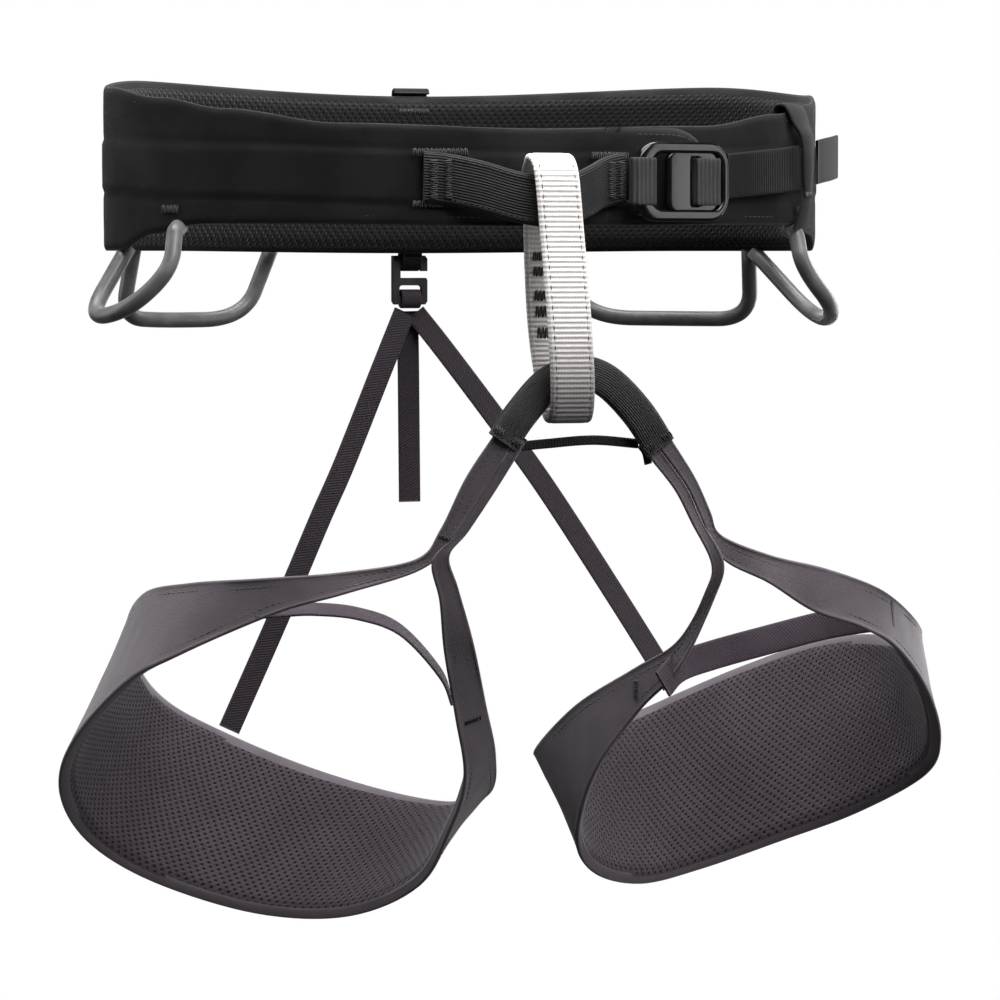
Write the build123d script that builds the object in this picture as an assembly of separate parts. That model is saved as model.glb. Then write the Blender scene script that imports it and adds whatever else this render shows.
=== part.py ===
from build123d import *
import os
from math import asin, cos, degrees, radians, sin

# Climbing harness, millimetres. +Z is up, the wearer faces -Y, and the origin is the
# middle of the waist opening. The wearer's right side is -X.

# ---- driving dimensions ------------------------------------------------------------
WAIST_A = 157.5          # half width of the belt, outside
WAIST_B = 92.0           # half depth of the belt, outside
BELT_TOP = [(0, 17), (30, 19), (50, 25), (66, 30), (86, 35), (125, 40), (180, 36)]
BELT_BOTTOM = [(0, -23), (40, -22), (56, -22), (68, -26), (82, -33), (130, -33), (180, -34)]
BELT_STEP = 7.5          # degrees between the sections of the belt
SHELL = 1.2              # outer fabric
GAP = 0.2                # free space between sewn layers
LOAD_WEB = 1.6           # load bearing webbing inside the belt
FOAM = 3.0               # belt foam
MESH = 1.2               # spacer mesh lining
BINDING = 0.9            # folded edge binding
BELT_THICK = SHELL + LOAD_WEB + FOAM + MESH + 3 * GAP
LOAD_WEB_HEIGHT = 20.0
FOAM_INSET = 3.0         # foam edge inside the belt's edges
TAB_STEP = 1.5           # how far the belt's overlapping end stands proud
WEB_MIDDLE = [(0, -4), (60, 0), (90, 3), (180, 2)]   # height of the load webbing's middle

TIE_IN_HEIGHT = 21.0
TIE_IN_THICK = 3.4
TIE_IN_PATH = [(-46, -3), (-36, -4), (-24, -7), (-8, -12), (8, -13), (20, -9), (30, -5), (39, -3)]
TIE_IN_STAND = [0.0, 0.0, 7.0, 13.5, 13.8, 9.0, 0.0, 0.0]

BELAY_WIDTH = 19.0
BELAY_THICK = 3.2
BELAY_LOOP = [(-106, 5), (-114.6, -1), (-115.8, -25), (-116.5, -55), (-114.8, -84), (-110.5, -98),
              (-104.5, -102), (-98.5, -98), (-93.5, -84), (-90.5, -64), (-92.5, -38), (-97.2, -14),
               (-98.4, -2)]
BELAY_X_TOP = 2.0
BELAY_X_BOTTOM = 11.0

BRIDGE_Y = -104.0
BRIDGE_WIDTH = 14.0
BRIDGE_THICK = 4.6
BRIDGE_PATH = [(-17, -111), (-9, -99.5), (3, -87), (16, -82.8), (28, -86.5), (41, -99), (51.5, -114)]

TUBE_R = 3.4             # gear loop tube
TUBE_BORE = 1.9
BEND_R = 11.0            # bends of the gear loops

STRAP_THICK = 1.5
STRAP_HALF = 9.5         # half width of the waist strap
STRIP_THICK = 1.6
ELASTIC_THICK = 1.2
RISER_WIDTH = 9.5
ELASTIC_WIDTH = {"right": 9.5, "left": 12.0}

# Leg loops: pairs of points on the upper and lower edge of each band, from the front
# of the thigh round the outside and the back to the inner thigh.
RIGHT_LEG = [
    ((-49, -88, -159), (-46, -89, -163)),
    ((-79, -82, -164), (-78, -84, -173)),
    ((-109, -66, -167), (-104, -71, -181.5)),
    ((-132, -38, -170), (-140, -45, -200)),
    ((-143, -4, -176), (-157.5, -28, -212)),
    ((-141, 36, -193), (-174, -2.5, -238)),
    ((-130, 63, -214), (-174.5, 22, -262)),
    ((-113, 78, -231), (-158, 42, -286.5)),
    ((-88, 81, -245), (-127, 48.5, -306.5)),
    ((-54, 71, -260), (-82, 41.5, -321.5)),
    ((-20, 50, -271), (-46, 21, -321.5)),
    ((2, 20, -273.5), (-22, -5, -306)),
    ((8.5, -12, -265), (-15.5, -28, -280)),
    ((1.5, -40, -246), (-14, -45, -256)),
    ((-9.5, -60, -222), (-23, -60, -228)),
    ((-20, -76, -196), (-32.5, -74, -199)),
    ((-30, -87, -172), (-38, -86, -177)),
    ((-36, -93, -158), (-43, -91, -160)),
]
LEFT_LEG = [
    ((80, -101, -151), (80, -102, -161)),
    ((99, -109, -159), (97, -111, -170.5)),
    ((123, -111, -165), (116, -113, -182.5)),
    ((150, -102, -174), (139, -111, -190)),
    ((172, -83, -186), (159, -102, -200)),
    ((190.5, -53.5, -197), (181, -83, -220)),
    ((199.5, -18, -203), (197, -60.5, -243)),
    ((192.5, 16, -204), (201.5, -34.5, -262)),
    ((174, 40, -210), (180.5, -8, -281)),
    ((149, 52, -220), (150, 10, -295)),
    ((123, 55, -230), (115, 18, -307)),
    ((94, 50, -240), (84, 12, -311.5)),
    ((61, 34, -249), (57, -3, -303.5)),
    ((33, 8, -251), (44, -19, -286)),
    ((38.5, -31, -227), (43.5, -43.5, -255)),
    ((55, -60, -209), (56, -64, -227)),
    ((67, -81, -196), (67, -83, -208)),
    ((74, -96, -175), (78, -97, -178)),
    ((75, -101, -163), (80, -103, -162)),
]
RIGHT_STRIPS = {
    "front": [((-21, -103, -109), (-15, -104, -115)), ((-31, -98, -126), (-24, -99, -131)),
              ((-40, -92, -147), (-34, -94, -148)), ((-48, -90, -157), (-44, -91, -161))],
    "inner": [((-14.3, -104, -115.8), (-11, -105, -117)), ((-23, -99.5, -131.6), (-19, -100, -132)),
              ((-32.6, -95.5, -148.6), (-28.5, -95, -148.2)), ((-42.4, -94, -158.6), (-36.6, -94.6, -157.4))],
}
LEFT_STRIPS = {
    "inner": [((47.4, -104, -118.8), (51.8, -104, -115.6)), ((59, -102, -132), (64.2, -101.5, -131)),
              ((67, -101, -146), (71.2, -100.5, -145)), ((73, -101, -160), (77.4, -100.6, -161))],
    "front": [((52.4, -104, -115.2), (57.4, -104, -111.7)), ((64.8, -101, -130.5), (68.5, -101, -127)),
              ((71.8, -100, -144), (75.5, -100, -141)), ((78, -100.4, -160), (80, -100, -150))],
}


# ---- helpers -------------------------------------------------------------------------
def smooth(points, steps, closed=False):
    """Points on a smooth curve through the given points, steps per span."""
    points = [Vector(*p) if not isinstance(p, Vector) else p for p in points]
    count = len(points)
    spans = count if closed else count - 1
    result = []
    for i in range(spans):
        if closed:
            a, b, c, d = (points[(i + k) % count] for k in (-1, 0, 1, 2))
        else:
            b, c = points[i], points[i + 1]
            a = points[i - 1] if i else b * 2 - c
            d = points[i + 2] if i + 2 < count else c * 2 - b
        for k in range(steps):
            t = k / steps
            result.append(b + (c - a) * (0.5 * t)
                          + (a * 2 - b * 5 + c * 4 - d) * (0.5 * t * t)
                          + (b * 3 - a - c * 3 + d) * (0.5 * t ** 3))
    if not closed:
        result.append(points[-1])
    return result


def table(pairs, x):
    """Value at x in a list of (x, value), eased between its entries."""
    for (x0, v0), (x1, v1) in zip(pairs, pairs[1:]):
        if x <= x1:
            t = (x - x0) / (x1 - x0)
            return v0 + (v1 - v0) * t * t * (3 - 2 * t)
    return pairs[-1][1]


def normals(upper, lower, closed=False):
    """Outward directions of the ribbon between two edges, one for each pair of points."""
    count = len(upper)
    middle = [(u + v) * 0.5 for u, v in zip(upper, lower)]
    result = []
    for i in range(count):
        ahead = middle[(i + 1) % count] if closed else middle[min(i + 1, count - 1)]
        behind = middle[i - 1] if closed or i else middle[0]
        result.append((ahead - behind).cross(upper[i] - lower[i]).normalized())
    return result


def band(upper, lower, near, far, closed=False, outward=None):
    """Ribbon between two edges, from near to far outside the surface through them."""
    count = len(upper)
    outward = outward or normals(upper, lower, closed)
    sections = []
    for i, out in enumerate(outward):
        corners = [upper[i] + out * far, upper[i] + out * near,
                   lower[i] + out * near, lower[i] + out * far]
        sections.append(Wire.make_polygon(corners, close=True))
    if not closed:
        return Solid.make_loft(sections, True)
    half = count // 2
    first = Solid.make_loft(sections[:half + 1], True)
    second = Solid.make_loft(sections[half:] + sections[:1], True)
    return first.fuse(second)


def lerp(a, b, t):
    return a + (b - a) * t


def inset(upper, lower, top, bottom):
    """The same ribbon with its upper and lower edges moved inwards by top and bottom."""
    high = []
    low = []
    for u, v in zip(upper, lower):
        along = (v - u).normalized()
        high.append(u + along * top)
        low.append(v - along * bottom)
    return high, low


def save(name, shapes, colour):
    """Write one node as a STEP file."""
    shapes = shapes if isinstance(shapes, list) else [shapes]
    solids = []
    for shape in shapes:
        solids.extend(shape.solids())
    node = solids[0] if len(solids) == 1 else Compound(children=solids)
    node.label = name
    node.color = Color(*colour)
    export_step(node, f"parts/{name}.step")


def belt_point(degrees, height, out=0.0):
    """Point on the belt's outer face, degrees from the front centre towards +X."""
    s = sin(radians(degrees))
    c = cos(radians(degrees))
    normal = Vector(s / WAIST_A, -c / WAIST_B, 0).normalized()
    return Vector(WAIST_A * s, -WAIST_B * c, height) + normal * out


def angle_at(x):
    """Degrees from the front centre at which the belt's front reaches x."""
    return degrees(asin(x / WAIST_A))


def belt_patch(start, end, z_top, z_bottom, near, far, steps=6):
    """A patch that follows the belt's outer face between two angles."""
    spots = [lerp(start, end, k / steps) for k in range(steps + 1)]
    high = [belt_point(s, z_top) for s in spots]
    low = [belt_point(s, z_bottom) for s in spots]
    return band(high, low, near, far)


def tack(centre, along, normal, length, width, depth):
    """A bar tack: a low block of dense stitches."""
    plane = Plane(origin=centre, x_dir=along, z_dir=normal)
    return plane * Box(length, width, depth, align=(Align.CENTER, Align.CENTER, Align.MIN))


os.makedirs("parts", exist_ok=True)

BLACK = (0.07, 0.07, 0.07)
GREY = (0.28, 0.27, 0.28)
DARK = (0.18, 0.16, 0.18)
METAL = (0.1, 0.1, 0.11)
WHITE = (0.85, 0.84, 0.82)

# ---- waist belt ----------------------------------------------------------------------
angles = [k * BELT_STEP for k in range(int(360 / BELT_STEP))]
belt_top = [belt_point(s, table(BELT_TOP, abs((s + 180) % 360 - 180))) for s in angles]
belt_low = [belt_point(s, table(BELT_BOTTOM, abs((s + 180) % 360 - 180))) for s in angles]
body_top, body_low = inset(belt_top, belt_low, BINDING + 0.1, BINDING + 0.1)

depth = -SHELL
save("belt_outer_shell", band(body_top, body_low, depth, 0, closed=True), BLACK)
web_out = depth - GAP
web_in = web_out - LOAD_WEB
web_mid = [(s, table(WEB_MIDDLE, abs((s + 180) % 360 - 180))) for s in angles]
web_top = [belt_point(s, z + LOAD_WEB_HEIGHT / 2) for s, z in web_mid]
web_low = [belt_point(s, z - LOAD_WEB_HEIGHT / 2) for s, z in web_mid]
save("belt_load_webbing", band(web_top, web_low, web_in, web_out, closed=True), DARK)
foam_out = web_in - GAP
foam_in = foam_out - FOAM
foam_top, foam_low = inset(belt_top, belt_low, FOAM_INSET, FOAM_INSET)
save("belt_foam_core", band(foam_top, foam_low, foam_in, foam_out, closed=True), DARK)
lining_out = foam_in - GAP
save("belt_mesh_lining", band(body_top, body_low, lining_out - MESH, lining_out, closed=True), DARK)
top_rim = inset(belt_top, belt_low, BINDING, 0)[0]
low_rim = inset(belt_top, belt_low, 0, BINDING)[1]
save("belt_top_binding", band(belt_top, top_rim, -BELT_THICK, 0, closed=True), BLACK)
save("belt_bottom_binding", band(low_rim, belt_low, -BELT_THICK, 0, closed=True), BLACK)

# The wearer's right end of the belt finishes in a rounded tab that lies over the other end.
tab_angles = [14, 20, 25, 28.5, 30.5, 31.5]
tab_half = [20, 20, 18.5, 15, 10, 4]
tab_top = [belt_point(s, -1.5 + h) for s, h in zip(tab_angles, tab_half)]
tab_low = [belt_point(s, -1.5 - h) for s, h in zip(tab_angles, tab_half)]
save("belt_overlap_tab", band(tab_top, tab_low, 0.1, TAB_STEP), BLACK)

# ---- upper tie-in loop ---------------------------------------------------------------
tie_base = [belt_point(angle_at(x), z, 0.7 + TAB_STEP * (x > 25) + TIE_IN_THICK / 2) - Vector(0, s, 0)
            for (x, z), s in zip(TIE_IN_PATH, TIE_IN_STAND)]
tie_mid = smooth(tie_base, 4)
half = Vector(0, 0, TIE_IN_HEIGHT / 2)
tie_top = [p + half for p in tie_mid]
tie_low = [p - half for p in tie_mid]
save("upper_tie_in_loop", band(tie_top, tie_low, -TIE_IN_THICK / 2, TIE_IN_THICK / 2), BLACK)

# Bar tacks at the two ends of the loop: x, z, width and height of each.
TACKS = [(-39, 7, 12, 2.4), (-42, -4, 2.6, 15), (-36, -4, 2.6, 15), (-40, -12.6, 10, 2.2),
         (33, 5, 8, 2.2), (33.5, -4, 2.6, 13), (36.5, -4, 1.8, 13), (34, -12.4, 8, 1.8)]
TACK_THICK = 0.7
tacks = []
for x, z, wide, high in TACKS:
    at = angle_at(x)
    normal = belt_point(at, 0, 1) - belt_point(at, 0)
    along = normal.cross(Vector(0, 0, -1))
    out = TIE_IN_THICK + 1.8 + TAB_STEP * (x > 0)
    tacks.append(tack(belt_point(at, z, out), along, normal, wide, high, TACK_THICK))
save("tie_in_bar_tacks", tacks, BLACK)

# ---- belay loop ----------------------------------------------------------------------
belay_path = []
for p in smooth([(0, y, z) for y, z in BELAY_LOOP], 4, closed=True):
    share = (BELAY_LOOP[0][1] - p.Z) / (BELAY_LOOP[0][1] - BELAY_LOOP[6][1])
    belay_path.append(p + Vector(lerp(BELAY_X_TOP, BELAY_X_BOTTOM, share), 0, 0))
side = Vector(BELAY_WIDTH / 2, 0, 0)
belay_a = [p + side for p in belay_path]
belay_b = [p - side for p in belay_path]
save("belay_loop_webbing", band(belay_a, belay_b, -BELAY_THICK / 2, BELAY_THICK / 2, closed=True), WHITE)
stitches = []
for k in range(5):
    height = -34 - 8.2 * k
    nearest = min(belay_path[28:], key=lambda p: abs(p.Z - height))
    spot = nearest + Vector(0, BELAY_THICK / 2 + 0.9, 0)
    stitches.append(Pos(*spot) * Box(11, TACK_THICK, 4.6))
save("belay_loop_bar_tacks", stitches, BLACK)

# ---- buckle --------------------------------------------------------------------------
BUCKLE_ANGLE = 23.5
BUCKLE_WIDE = 46.0
BUCKLE_HIGH = 33.0
BUCKLE_THICK = 3.4
buckle_out = belt_point(BUCKLE_ANGLE, 0, 1) - belt_point(BUCKLE_ANGLE, 0)
buckle_along = buckle_out.cross(Vector(0, 0, -1))
buckle_plane = Plane(origin=belt_point(BUCKLE_ANGLE, -4.5, 8.2), x_dir=buckle_along, z_dir=buckle_out)


def slab(x0, x1, y0, y1, thick, radius=0.0):
    """A flat rounded plate in the buckle's plane, centred on it."""
    shape = Rectangle(x1 - x0, y1 - y0) if not radius else RectangleRounded(x1 - x0, y1 - y0, radius)
    return Pos((x0 + x1) / 2, (y0 + y1) / 2, -thick / 2) * extrude(shape, thick)


def wrap(x0, x1, y0, y1, thick, skin):
    """Webbing folded round a bar that runs along the buckle's y."""
    outer = RectangleRounded(x1 - x0, thick, thick / 2 - 0.05)
    inner = RectangleRounded(x1 - x0 - 2 * skin, thick - 2 * skin, 0.3)
    tube = extrude(outer - inner, y1 - y0)
    return Pos((x0 + x1) / 2, y1, 0) * (Rot(90, 0, 0) * tube)


frame_plate = slab(-23, 23, -16.5, 16.5, BUCKLE_THICK, 9) - slab(-15, 19.8, -12.4, 12.4, 8, 2.4)
frame_plate = fillet(frame_plate.edges().filter_by(Axis.Z, reverse=True), 0.8)
save("buckle_frame", buckle_plane * frame_plate, METAL)
slider = slab(-8, 17.4, -12, 12, 2.6, 2.5) - slab(3.4, 7.6, -10.9, 10.9, 8, 1)
slider = slider + Pos(-2.3, 0, 1.3) * Box(6, 19, 1.6, align=(Align.CENTER, Align.CENTER, Align.MIN))
save("buckle_slider", buckle_plane * slider, METAL)
save("buckle_anchor_webbing", buckle_plane * wrap(-25.2, -13.2, -9.8, 9.8, 7.0, 1.5), BLACK)
save("buckle_strap_wrap", buckle_plane * wrap(5.9, 19.1, -9.8, 9.8, 6.2, 1.4), BLACK)

# ---- waist strap, its keeper and its tail ----------------------------------------------
strap_angles = [34.5, 40, 46, 52, 57, 62]
strap_top = [belt_point(s, lerp(-2, 4, k / 5) + STRAP_HALF) for k, s in enumerate(strap_angles)]
strap_low = [p - Vector(0, 0, 2 * STRAP_HALF) for p in strap_top]
save("waist_strap", band(strap_top, strap_low, 1.9, 1.9 + STRAP_THICK), BLACK)
save("strap_keeper", belt_patch(56, 60.5, 26, -24, 3.9, 5.2, 3), BLACK)
keeper_out = belt_point(58.2, 0, 1) - belt_point(58.2, 0)
keeper_along = keeper_out.cross(Vector(0, 0, -1))
keeper_tack = tack(belt_point(58.2, -9, 5.6), keeper_along, keeper_out, 7, 2.4, TACK_THICK)
save("keeper_bar_tack", keeper_tack, BLACK)
tail_spots = [(64.5, 5, 3.2), (69, 6, 4.2), (75, 7, 6.0), (81, 8, 8.6)]
tail_top = [belt_point(s, z + STRAP_HALF, out) for s, z, out in tail_spots]
tail_low = [belt_point(s, z - STRAP_HALF, out) for s, z, out in tail_spots]
save("waist_strap_tail", band(tail_top, tail_low, 0, STRAP_THICK), BLACK)

# ---- haul tab ------------------------------------------------------------------------
HAUL_X = 3.5
save("haul_tab", Pos(HAUL_X, WAIST_B + 1.4, 24) * Box(17, 1.4, 30), BLACK)
save("haul_tab_tack", Pos(HAUL_X, WAIST_B + 2.7, 18) * Box(12, 0.8, 2.6), BLACK)

# ---- gear loops ----------------------------------------------------------------------
GEAR_LOOPS = {
    "front_right_side": [
        (-139.5, -46, -26), (-142.5, -52, -41), (-158.5, -43.5, -57.5), (-170, -18, -61.5),
        (-154, -11.5, -37),
    ],
    "rear_right_side": [
        (-132, 61, -37.5), (-135, 67, -62), (-112, 83, -63.5), (-72, 98, -63), (-62, 97, -37.5),
    ],
    "front_left_side": [
        (133, -49.5, -26.5), (134, -54, -40.5), (156, -40, -60), (164.5, 5, -64),
        (147.5, 28, -37.5),
    ],
    "rear_left_side": [
        (145, 38, -37.5), (151.5, 53, -63.5), (126, 71, -63.5), (86, 93, -63), (76, 92, -37.5),
    ],
}


def gear_tube(points, outer, inner):
    """A round tube along a bent path, with one bend radius."""
    path = FilletPolyline(*points, radius=BEND_R)
    start = Plane(origin=path @ 0, z_dir=path % 0)
    profile = start * Circle(outer)
    if inner:
        profile = profile - start * Circle(inner)
    return sweep(profile, path=path)


for name, points in GEAR_LOOPS.items():
    save(f"gear_loop_{name}", gear_tube(points, TUBE_R, TUBE_BORE + 0.1), GREY)
    save(f"gear_loop_core_{name}", gear_tube(points, TUBE_BORE, 0), DARK)

# ---- rear hook for the leg loop risers -----------------------------------------------
HOOK_Y = WAIST_B + 5.0
HOOK_THICK = 3.6
HOOK_OUTLINE = [(-3, -35), (12, -35), (13, -36.5), (13, -42), (10.4, -42), (9.8, -38.6), (0.4, -38.6),
                (0.4, -45), (12.4, -45), (13, -46), (13, -55.5), (12, -57), (-2, -57), (-3, -55.5)]
hook_face = make_face(Polyline(*HOOK_OUTLINE, close=True))
hook_face -= Pos(5.2, -51, 0) * RectangleRounded(10.6, 5.2, 1.2)
hook_plane = Plane(origin=(0, HOOK_Y + HOOK_THICK, 0), x_dir=(1, 0, 0), z_dir=(0, -1, 0))
hook = extrude(hook_plane * hook_face, HOOK_THICK)
hook = fillet(hook.edges().filter_by(Axis.Y), 0.25)
save("riser_hook", hook, BLACK)
anchor_path = smooth([(0, WAIST_B + 1.2, -16), (0, WAIST_B + 1.3, -28), (0, WAIST_B + 2.0, -37.5),
                      (0, HOOK_Y + 1.0, -41.4), (0, HOOK_Y + 5.6, -39.6), (0, HOOK_Y + 5.8, -34.6),
                      (0, HOOK_Y + 1.5, -32), (0, WAIST_B + 3.2, -26), (0, WAIST_B + 2.7, -16)], 4)
anchor_a = [p + Vector(9.4, 0, 0) for p in anchor_path]
anchor_b = [p + Vector(0.8, 0, 0) for p in anchor_path]
save("riser_hook_anchor", band(anchor_a, anchor_b, -0.6, 0.6), BLACK)
HOOK_WRAP = [(-1.2, -52), (-1.2, -56.5), (1.8, -58.2), (4.8, -56.5), (4.8, -52), (1.8, -50.6)]
hook_wrap = [Vector(0, HOOK_Y + y, z) for y, z in HOOK_WRAP]
wrap_path = smooth(hook_wrap, 3, closed=True)
wrap_a = [p + Vector(9.8, 0, 0) for p in wrap_path]
wrap_b = [p + Vector(0.6, 0, 0) for p in wrap_path]
save("riser_webbing_wrap", band(wrap_a, wrap_b, -0.5, 0.5, closed=True), BLACK)


def flat_strap(points, width, thick, across=Vector(1, 0, 0), steps=3):
    """A strap along a path; its width lies along one direction, square to the path."""
    path = smooth(points, steps)
    high = []
    low = []
    for i, p in enumerate(path):
        along = path[min(i + 1, len(path) - 1)] - path[max(i - 1, 0)]
        along = along.normalized()
        cross = (across - along * across.dot(along)).normalized() * (width / 2)
        high.append(p + cross)
        low.append(p - cross)
    return band(high, low, -thick / 2, thick / 2)


RISERS = {
    "right": [(2, 96.2, -60.2), (-9.5, 94, -86), (-28, 90.5, -128),
              (-40, 89, -153), (-59.5, 87.5, -196), (-82.5, 86.5, -245)],
    "left": [(8, 99.6, -60.8), (21.5, 96, -78.5), (45, 89.5, -111),
             (66, 83.5, -141.5), (94, 74.5, -187), (118.5, 64.5, -229)],
}
TAIL = [(5.2, 102.6, -60), (5.6, 102.6, -80), (5.9, 102.6, -112), (6.2, 102.6, -146)]
for side, points in RISERS.items():
    save(f"{side}_riser_upper", flat_strap(points[:3], RISER_WIDTH, ELASTIC_THICK), DARK)
    below = lerp(Vector(*points[3]), Vector(*points[4]), 0.5)
    lower_points = [below] + [Vector(*p) for p in points[4:]]
    save(f"{side}_riser_lower", flat_strap(lower_points, RISER_WIDTH, ELASTIC_THICK), DARK)
save("riser_tail", flat_strap(TAIL, RISER_WIDTH, ELASTIC_THICK), DARK)

# ---- lower tie-in: the bridge between the leg loops -----------------------------------
bridge = smooth([(x, BRIDGE_Y, z) for x, z in BRIDGE_PATH], 4)
bridge_top = []
bridge_low = []
for i, p in enumerate(bridge):
    along = bridge[min(i + 1, len(bridge) - 1)] - bridge[max(i - 1, 0)]
    up = Vector(0, 1, 0).cross(along).normalized() * -1
    bridge_top.append(p + up * BRIDGE_WIDTH / 2)
    bridge_low.append(p - up * BRIDGE_WIDTH / 2)
core_top, core_low = inset(bridge_top, bridge_low, 1.3, 1.3)
sleeve = band(bridge_top, bridge_low, -BRIDGE_THICK / 2, BRIDGE_THICK / 2)
save("lower_tie_in_webbing", band(core_top, core_low, -1.2, 1.2), BLACK)
hollow_top, hollow_low = inset(bridge_top, bridge_low, 1.1, 1.1)
save("lower_tie_in_sleeve", sleeve - band(hollow_top, hollow_low, -1.4, 1.4), BLACK)
LINK = [(-8, -98.8, -113), (4, -98.8, -112), (24, -98.8, -110.8), (43.5, -98.8, -112.5)]
save("lower_tie_in_link", flat_strap(LINK, 4.0, 1.4, Vector(0, 0, 1)), BLACK)
KNOT = [(45, -98.2, -113.2), (47.5, -97, -116), (49, -96, -121)]
save("link_knot_tail", flat_strap(KNOT, 3.4, 1.6, Vector(1, 0, 0), 2), BLACK)

# ---- leg loops ------------------------------------------------------------------------
LEG_SHELL = 1.0
LEG_WEB = 1.0
LEG_FOAM = 1.8
LEG_MESH = 0.9
LEG_THICK = LEG_SHELL + LEG_WEB + LEG_FOAM + LEG_MESH + 3 * GAP


def leg_loop(side, stations, strips, elastic, outward, first_padded, last_padded):
    """All the pieces of one leg loop; outward is 1 or -1, so that the shell is outside."""
    across = Vector(0, 0.25, 1)
    order = stations if outward > 0 else stations[::-1]
    upper = smooth([u for u, v in order], 2)
    lower = smooth([v for u, v in order], 2)
    faces = normals(upper, lower)
    body_u, body_l = inset(upper, lower, BINDING + 0.1, BINDING + 0.1)
    save(f"{side}_leg_shell", band(body_u, body_l, -LEG_SHELL, 0, False, faces), GREY)
    pad = slice(2 * first_padded, 2 * last_padded + 1)
    if outward < 0:
        count = len(upper) - 1
        pad = slice(count - 2 * last_padded, count - 2 * first_padded + 1)
    pad_u, pad_l, faces = body_u[pad], body_l[pad], faces[pad]
    web_u = [lerp(u, v, 0.36) for u, v in zip(pad_u, pad_l)]
    web_l = [lerp(u, v, 0.64) for u, v in zip(pad_u, pad_l)]
    out = -LEG_SHELL - GAP
    save(f"{side}_leg_load_webbing", band(web_u, web_l, out - LEG_WEB, out, False, faces), DARK)
    out -= LEG_WEB + GAP
    foam_u, foam_l = inset(pad_u, pad_l, 2.0, 2.0)
    save(f"{side}_leg_foam", band(foam_u, foam_l, out - LEG_FOAM, out, False, faces), DARK)
    out -= LEG_FOAM + GAP
    save(f"{side}_leg_mesh_lining", band(pad_u, pad_l, out - LEG_MESH, out, False, faces), DARK)
    rim_u = inset(upper[pad], lower[pad], BINDING, 0)[0]
    rim_l = inset(upper[pad], lower[pad], 0, BINDING)[1]
    save(f"{side}_leg_upper_binding", band(upper[pad], rim_u, -LEG_THICK, 0, False, faces), GREY)
    save(f"{side}_leg_lower_binding", band(rim_l, lower[pad], -LEG_THICK, 0, False, faces), GREY)
    for place, pairs in strips.items():
        high = smooth([a for a, b in pairs], 3)
        low = smooth([b for a, b in pairs], 3)
        save(f"{side}_{place}_strip", band(high, low, -STRIP_THICK / 2, STRIP_THICK / 2), GREY)
    save(f"{side}_leg_elastic", flat_strap(elastic, ELASTIC_WIDTH[side], ELASTIC_THICK, across), DARK)


RIGHT_ELASTIC = [(-98, -58, -181), (-84, -57, -181), (-66, -60, -183), (-48, -62, -190), (-31, -62, -208)]
LEFT_ELASTIC = [(70, -77, -207.5), (89, -68, -203.5), (114.7, -63, -198.4), (136, -70, -192.5),
                (146, -84, -189)]
leg_loop("right", RIGHT_LEG, RIGHT_STRIPS, RIGHT_ELASTIC, -1, 3, 13)
leg_loop("left", LEFT_LEG, LEFT_STRIPS, LEFT_ELASTIC, 1, 4, 15)
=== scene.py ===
import bpy
import math
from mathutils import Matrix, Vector, noise


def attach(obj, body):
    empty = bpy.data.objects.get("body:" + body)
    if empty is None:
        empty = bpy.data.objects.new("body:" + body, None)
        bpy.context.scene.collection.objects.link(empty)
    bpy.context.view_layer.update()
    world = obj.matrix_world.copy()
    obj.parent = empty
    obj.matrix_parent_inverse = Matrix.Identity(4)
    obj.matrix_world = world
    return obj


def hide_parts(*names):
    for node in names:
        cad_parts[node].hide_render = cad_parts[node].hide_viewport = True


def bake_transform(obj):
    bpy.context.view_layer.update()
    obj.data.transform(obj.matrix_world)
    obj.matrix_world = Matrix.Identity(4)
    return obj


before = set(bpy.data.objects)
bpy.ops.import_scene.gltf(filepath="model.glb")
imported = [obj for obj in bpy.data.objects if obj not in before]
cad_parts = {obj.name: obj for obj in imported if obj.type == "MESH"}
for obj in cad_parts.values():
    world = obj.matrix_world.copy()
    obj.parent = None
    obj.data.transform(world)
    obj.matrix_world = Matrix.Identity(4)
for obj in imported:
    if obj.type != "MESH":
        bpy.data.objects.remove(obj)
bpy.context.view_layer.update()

MM = 0.001
ROOT = "waist_belt"
LEGS = {"right": "right_leg_loop", "left": "left_leg_loop"}

# ---- places shared with the CAD model, in millimetres --------------------------------
WAIST_A = 157.5
WAIST_B = 92.0
BELT_TOP = [(0, 17), (30, 19), (50, 25), (66, 30), (86, 35), (125, 40), (180, 36)]
BELT_BOTTOM = [(0, -23), (40, -22), (56, -22), (68, -26), (82, -33), (130, -33), (180, -34)]
BELT_THICK = 7.6
BAND_MID = [(0, -4), (60, 0), (90, 3), (180, 2)]
RIGHT_LEG = [
    ((-49, -88, -159), (-46, -89, -163)),
    ((-79, -82, -164), (-78, -84, -173)),
    ((-109, -66, -167), (-104, -71, -181.5)),
    ((-132, -38, -170), (-140, -45, -200)),
    ((-143, -4, -176), (-157.5, -28, -212)),
    ((-141, 36, -193), (-174, -2.5, -238)),
    ((-130, 63, -214), (-174.5, 22, -262)),
    ((-113, 78, -231), (-158, 42, -286.5)),
    ((-88, 81, -245), (-127, 48.5, -306.5)),
    ((-54, 71, -260), (-82, 41.5, -321.5)),
    ((-20, 50, -271), (-46, 21, -321.5)),
    ((2, 20, -273.5), (-22, -5, -306)),
    ((8.5, -12, -265), (-15.5, -28, -280)),
    ((1.5, -40, -246), (-14, -45, -256)),
    ((-9.5, -60, -222), (-23, -60, -228)),
    ((-20, -76, -196), (-32.5, -74, -199)),
    ((-30, -87, -172), (-38, -86, -177)),
    ((-36, -93, -158), (-43, -91, -160)),
]
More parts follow.
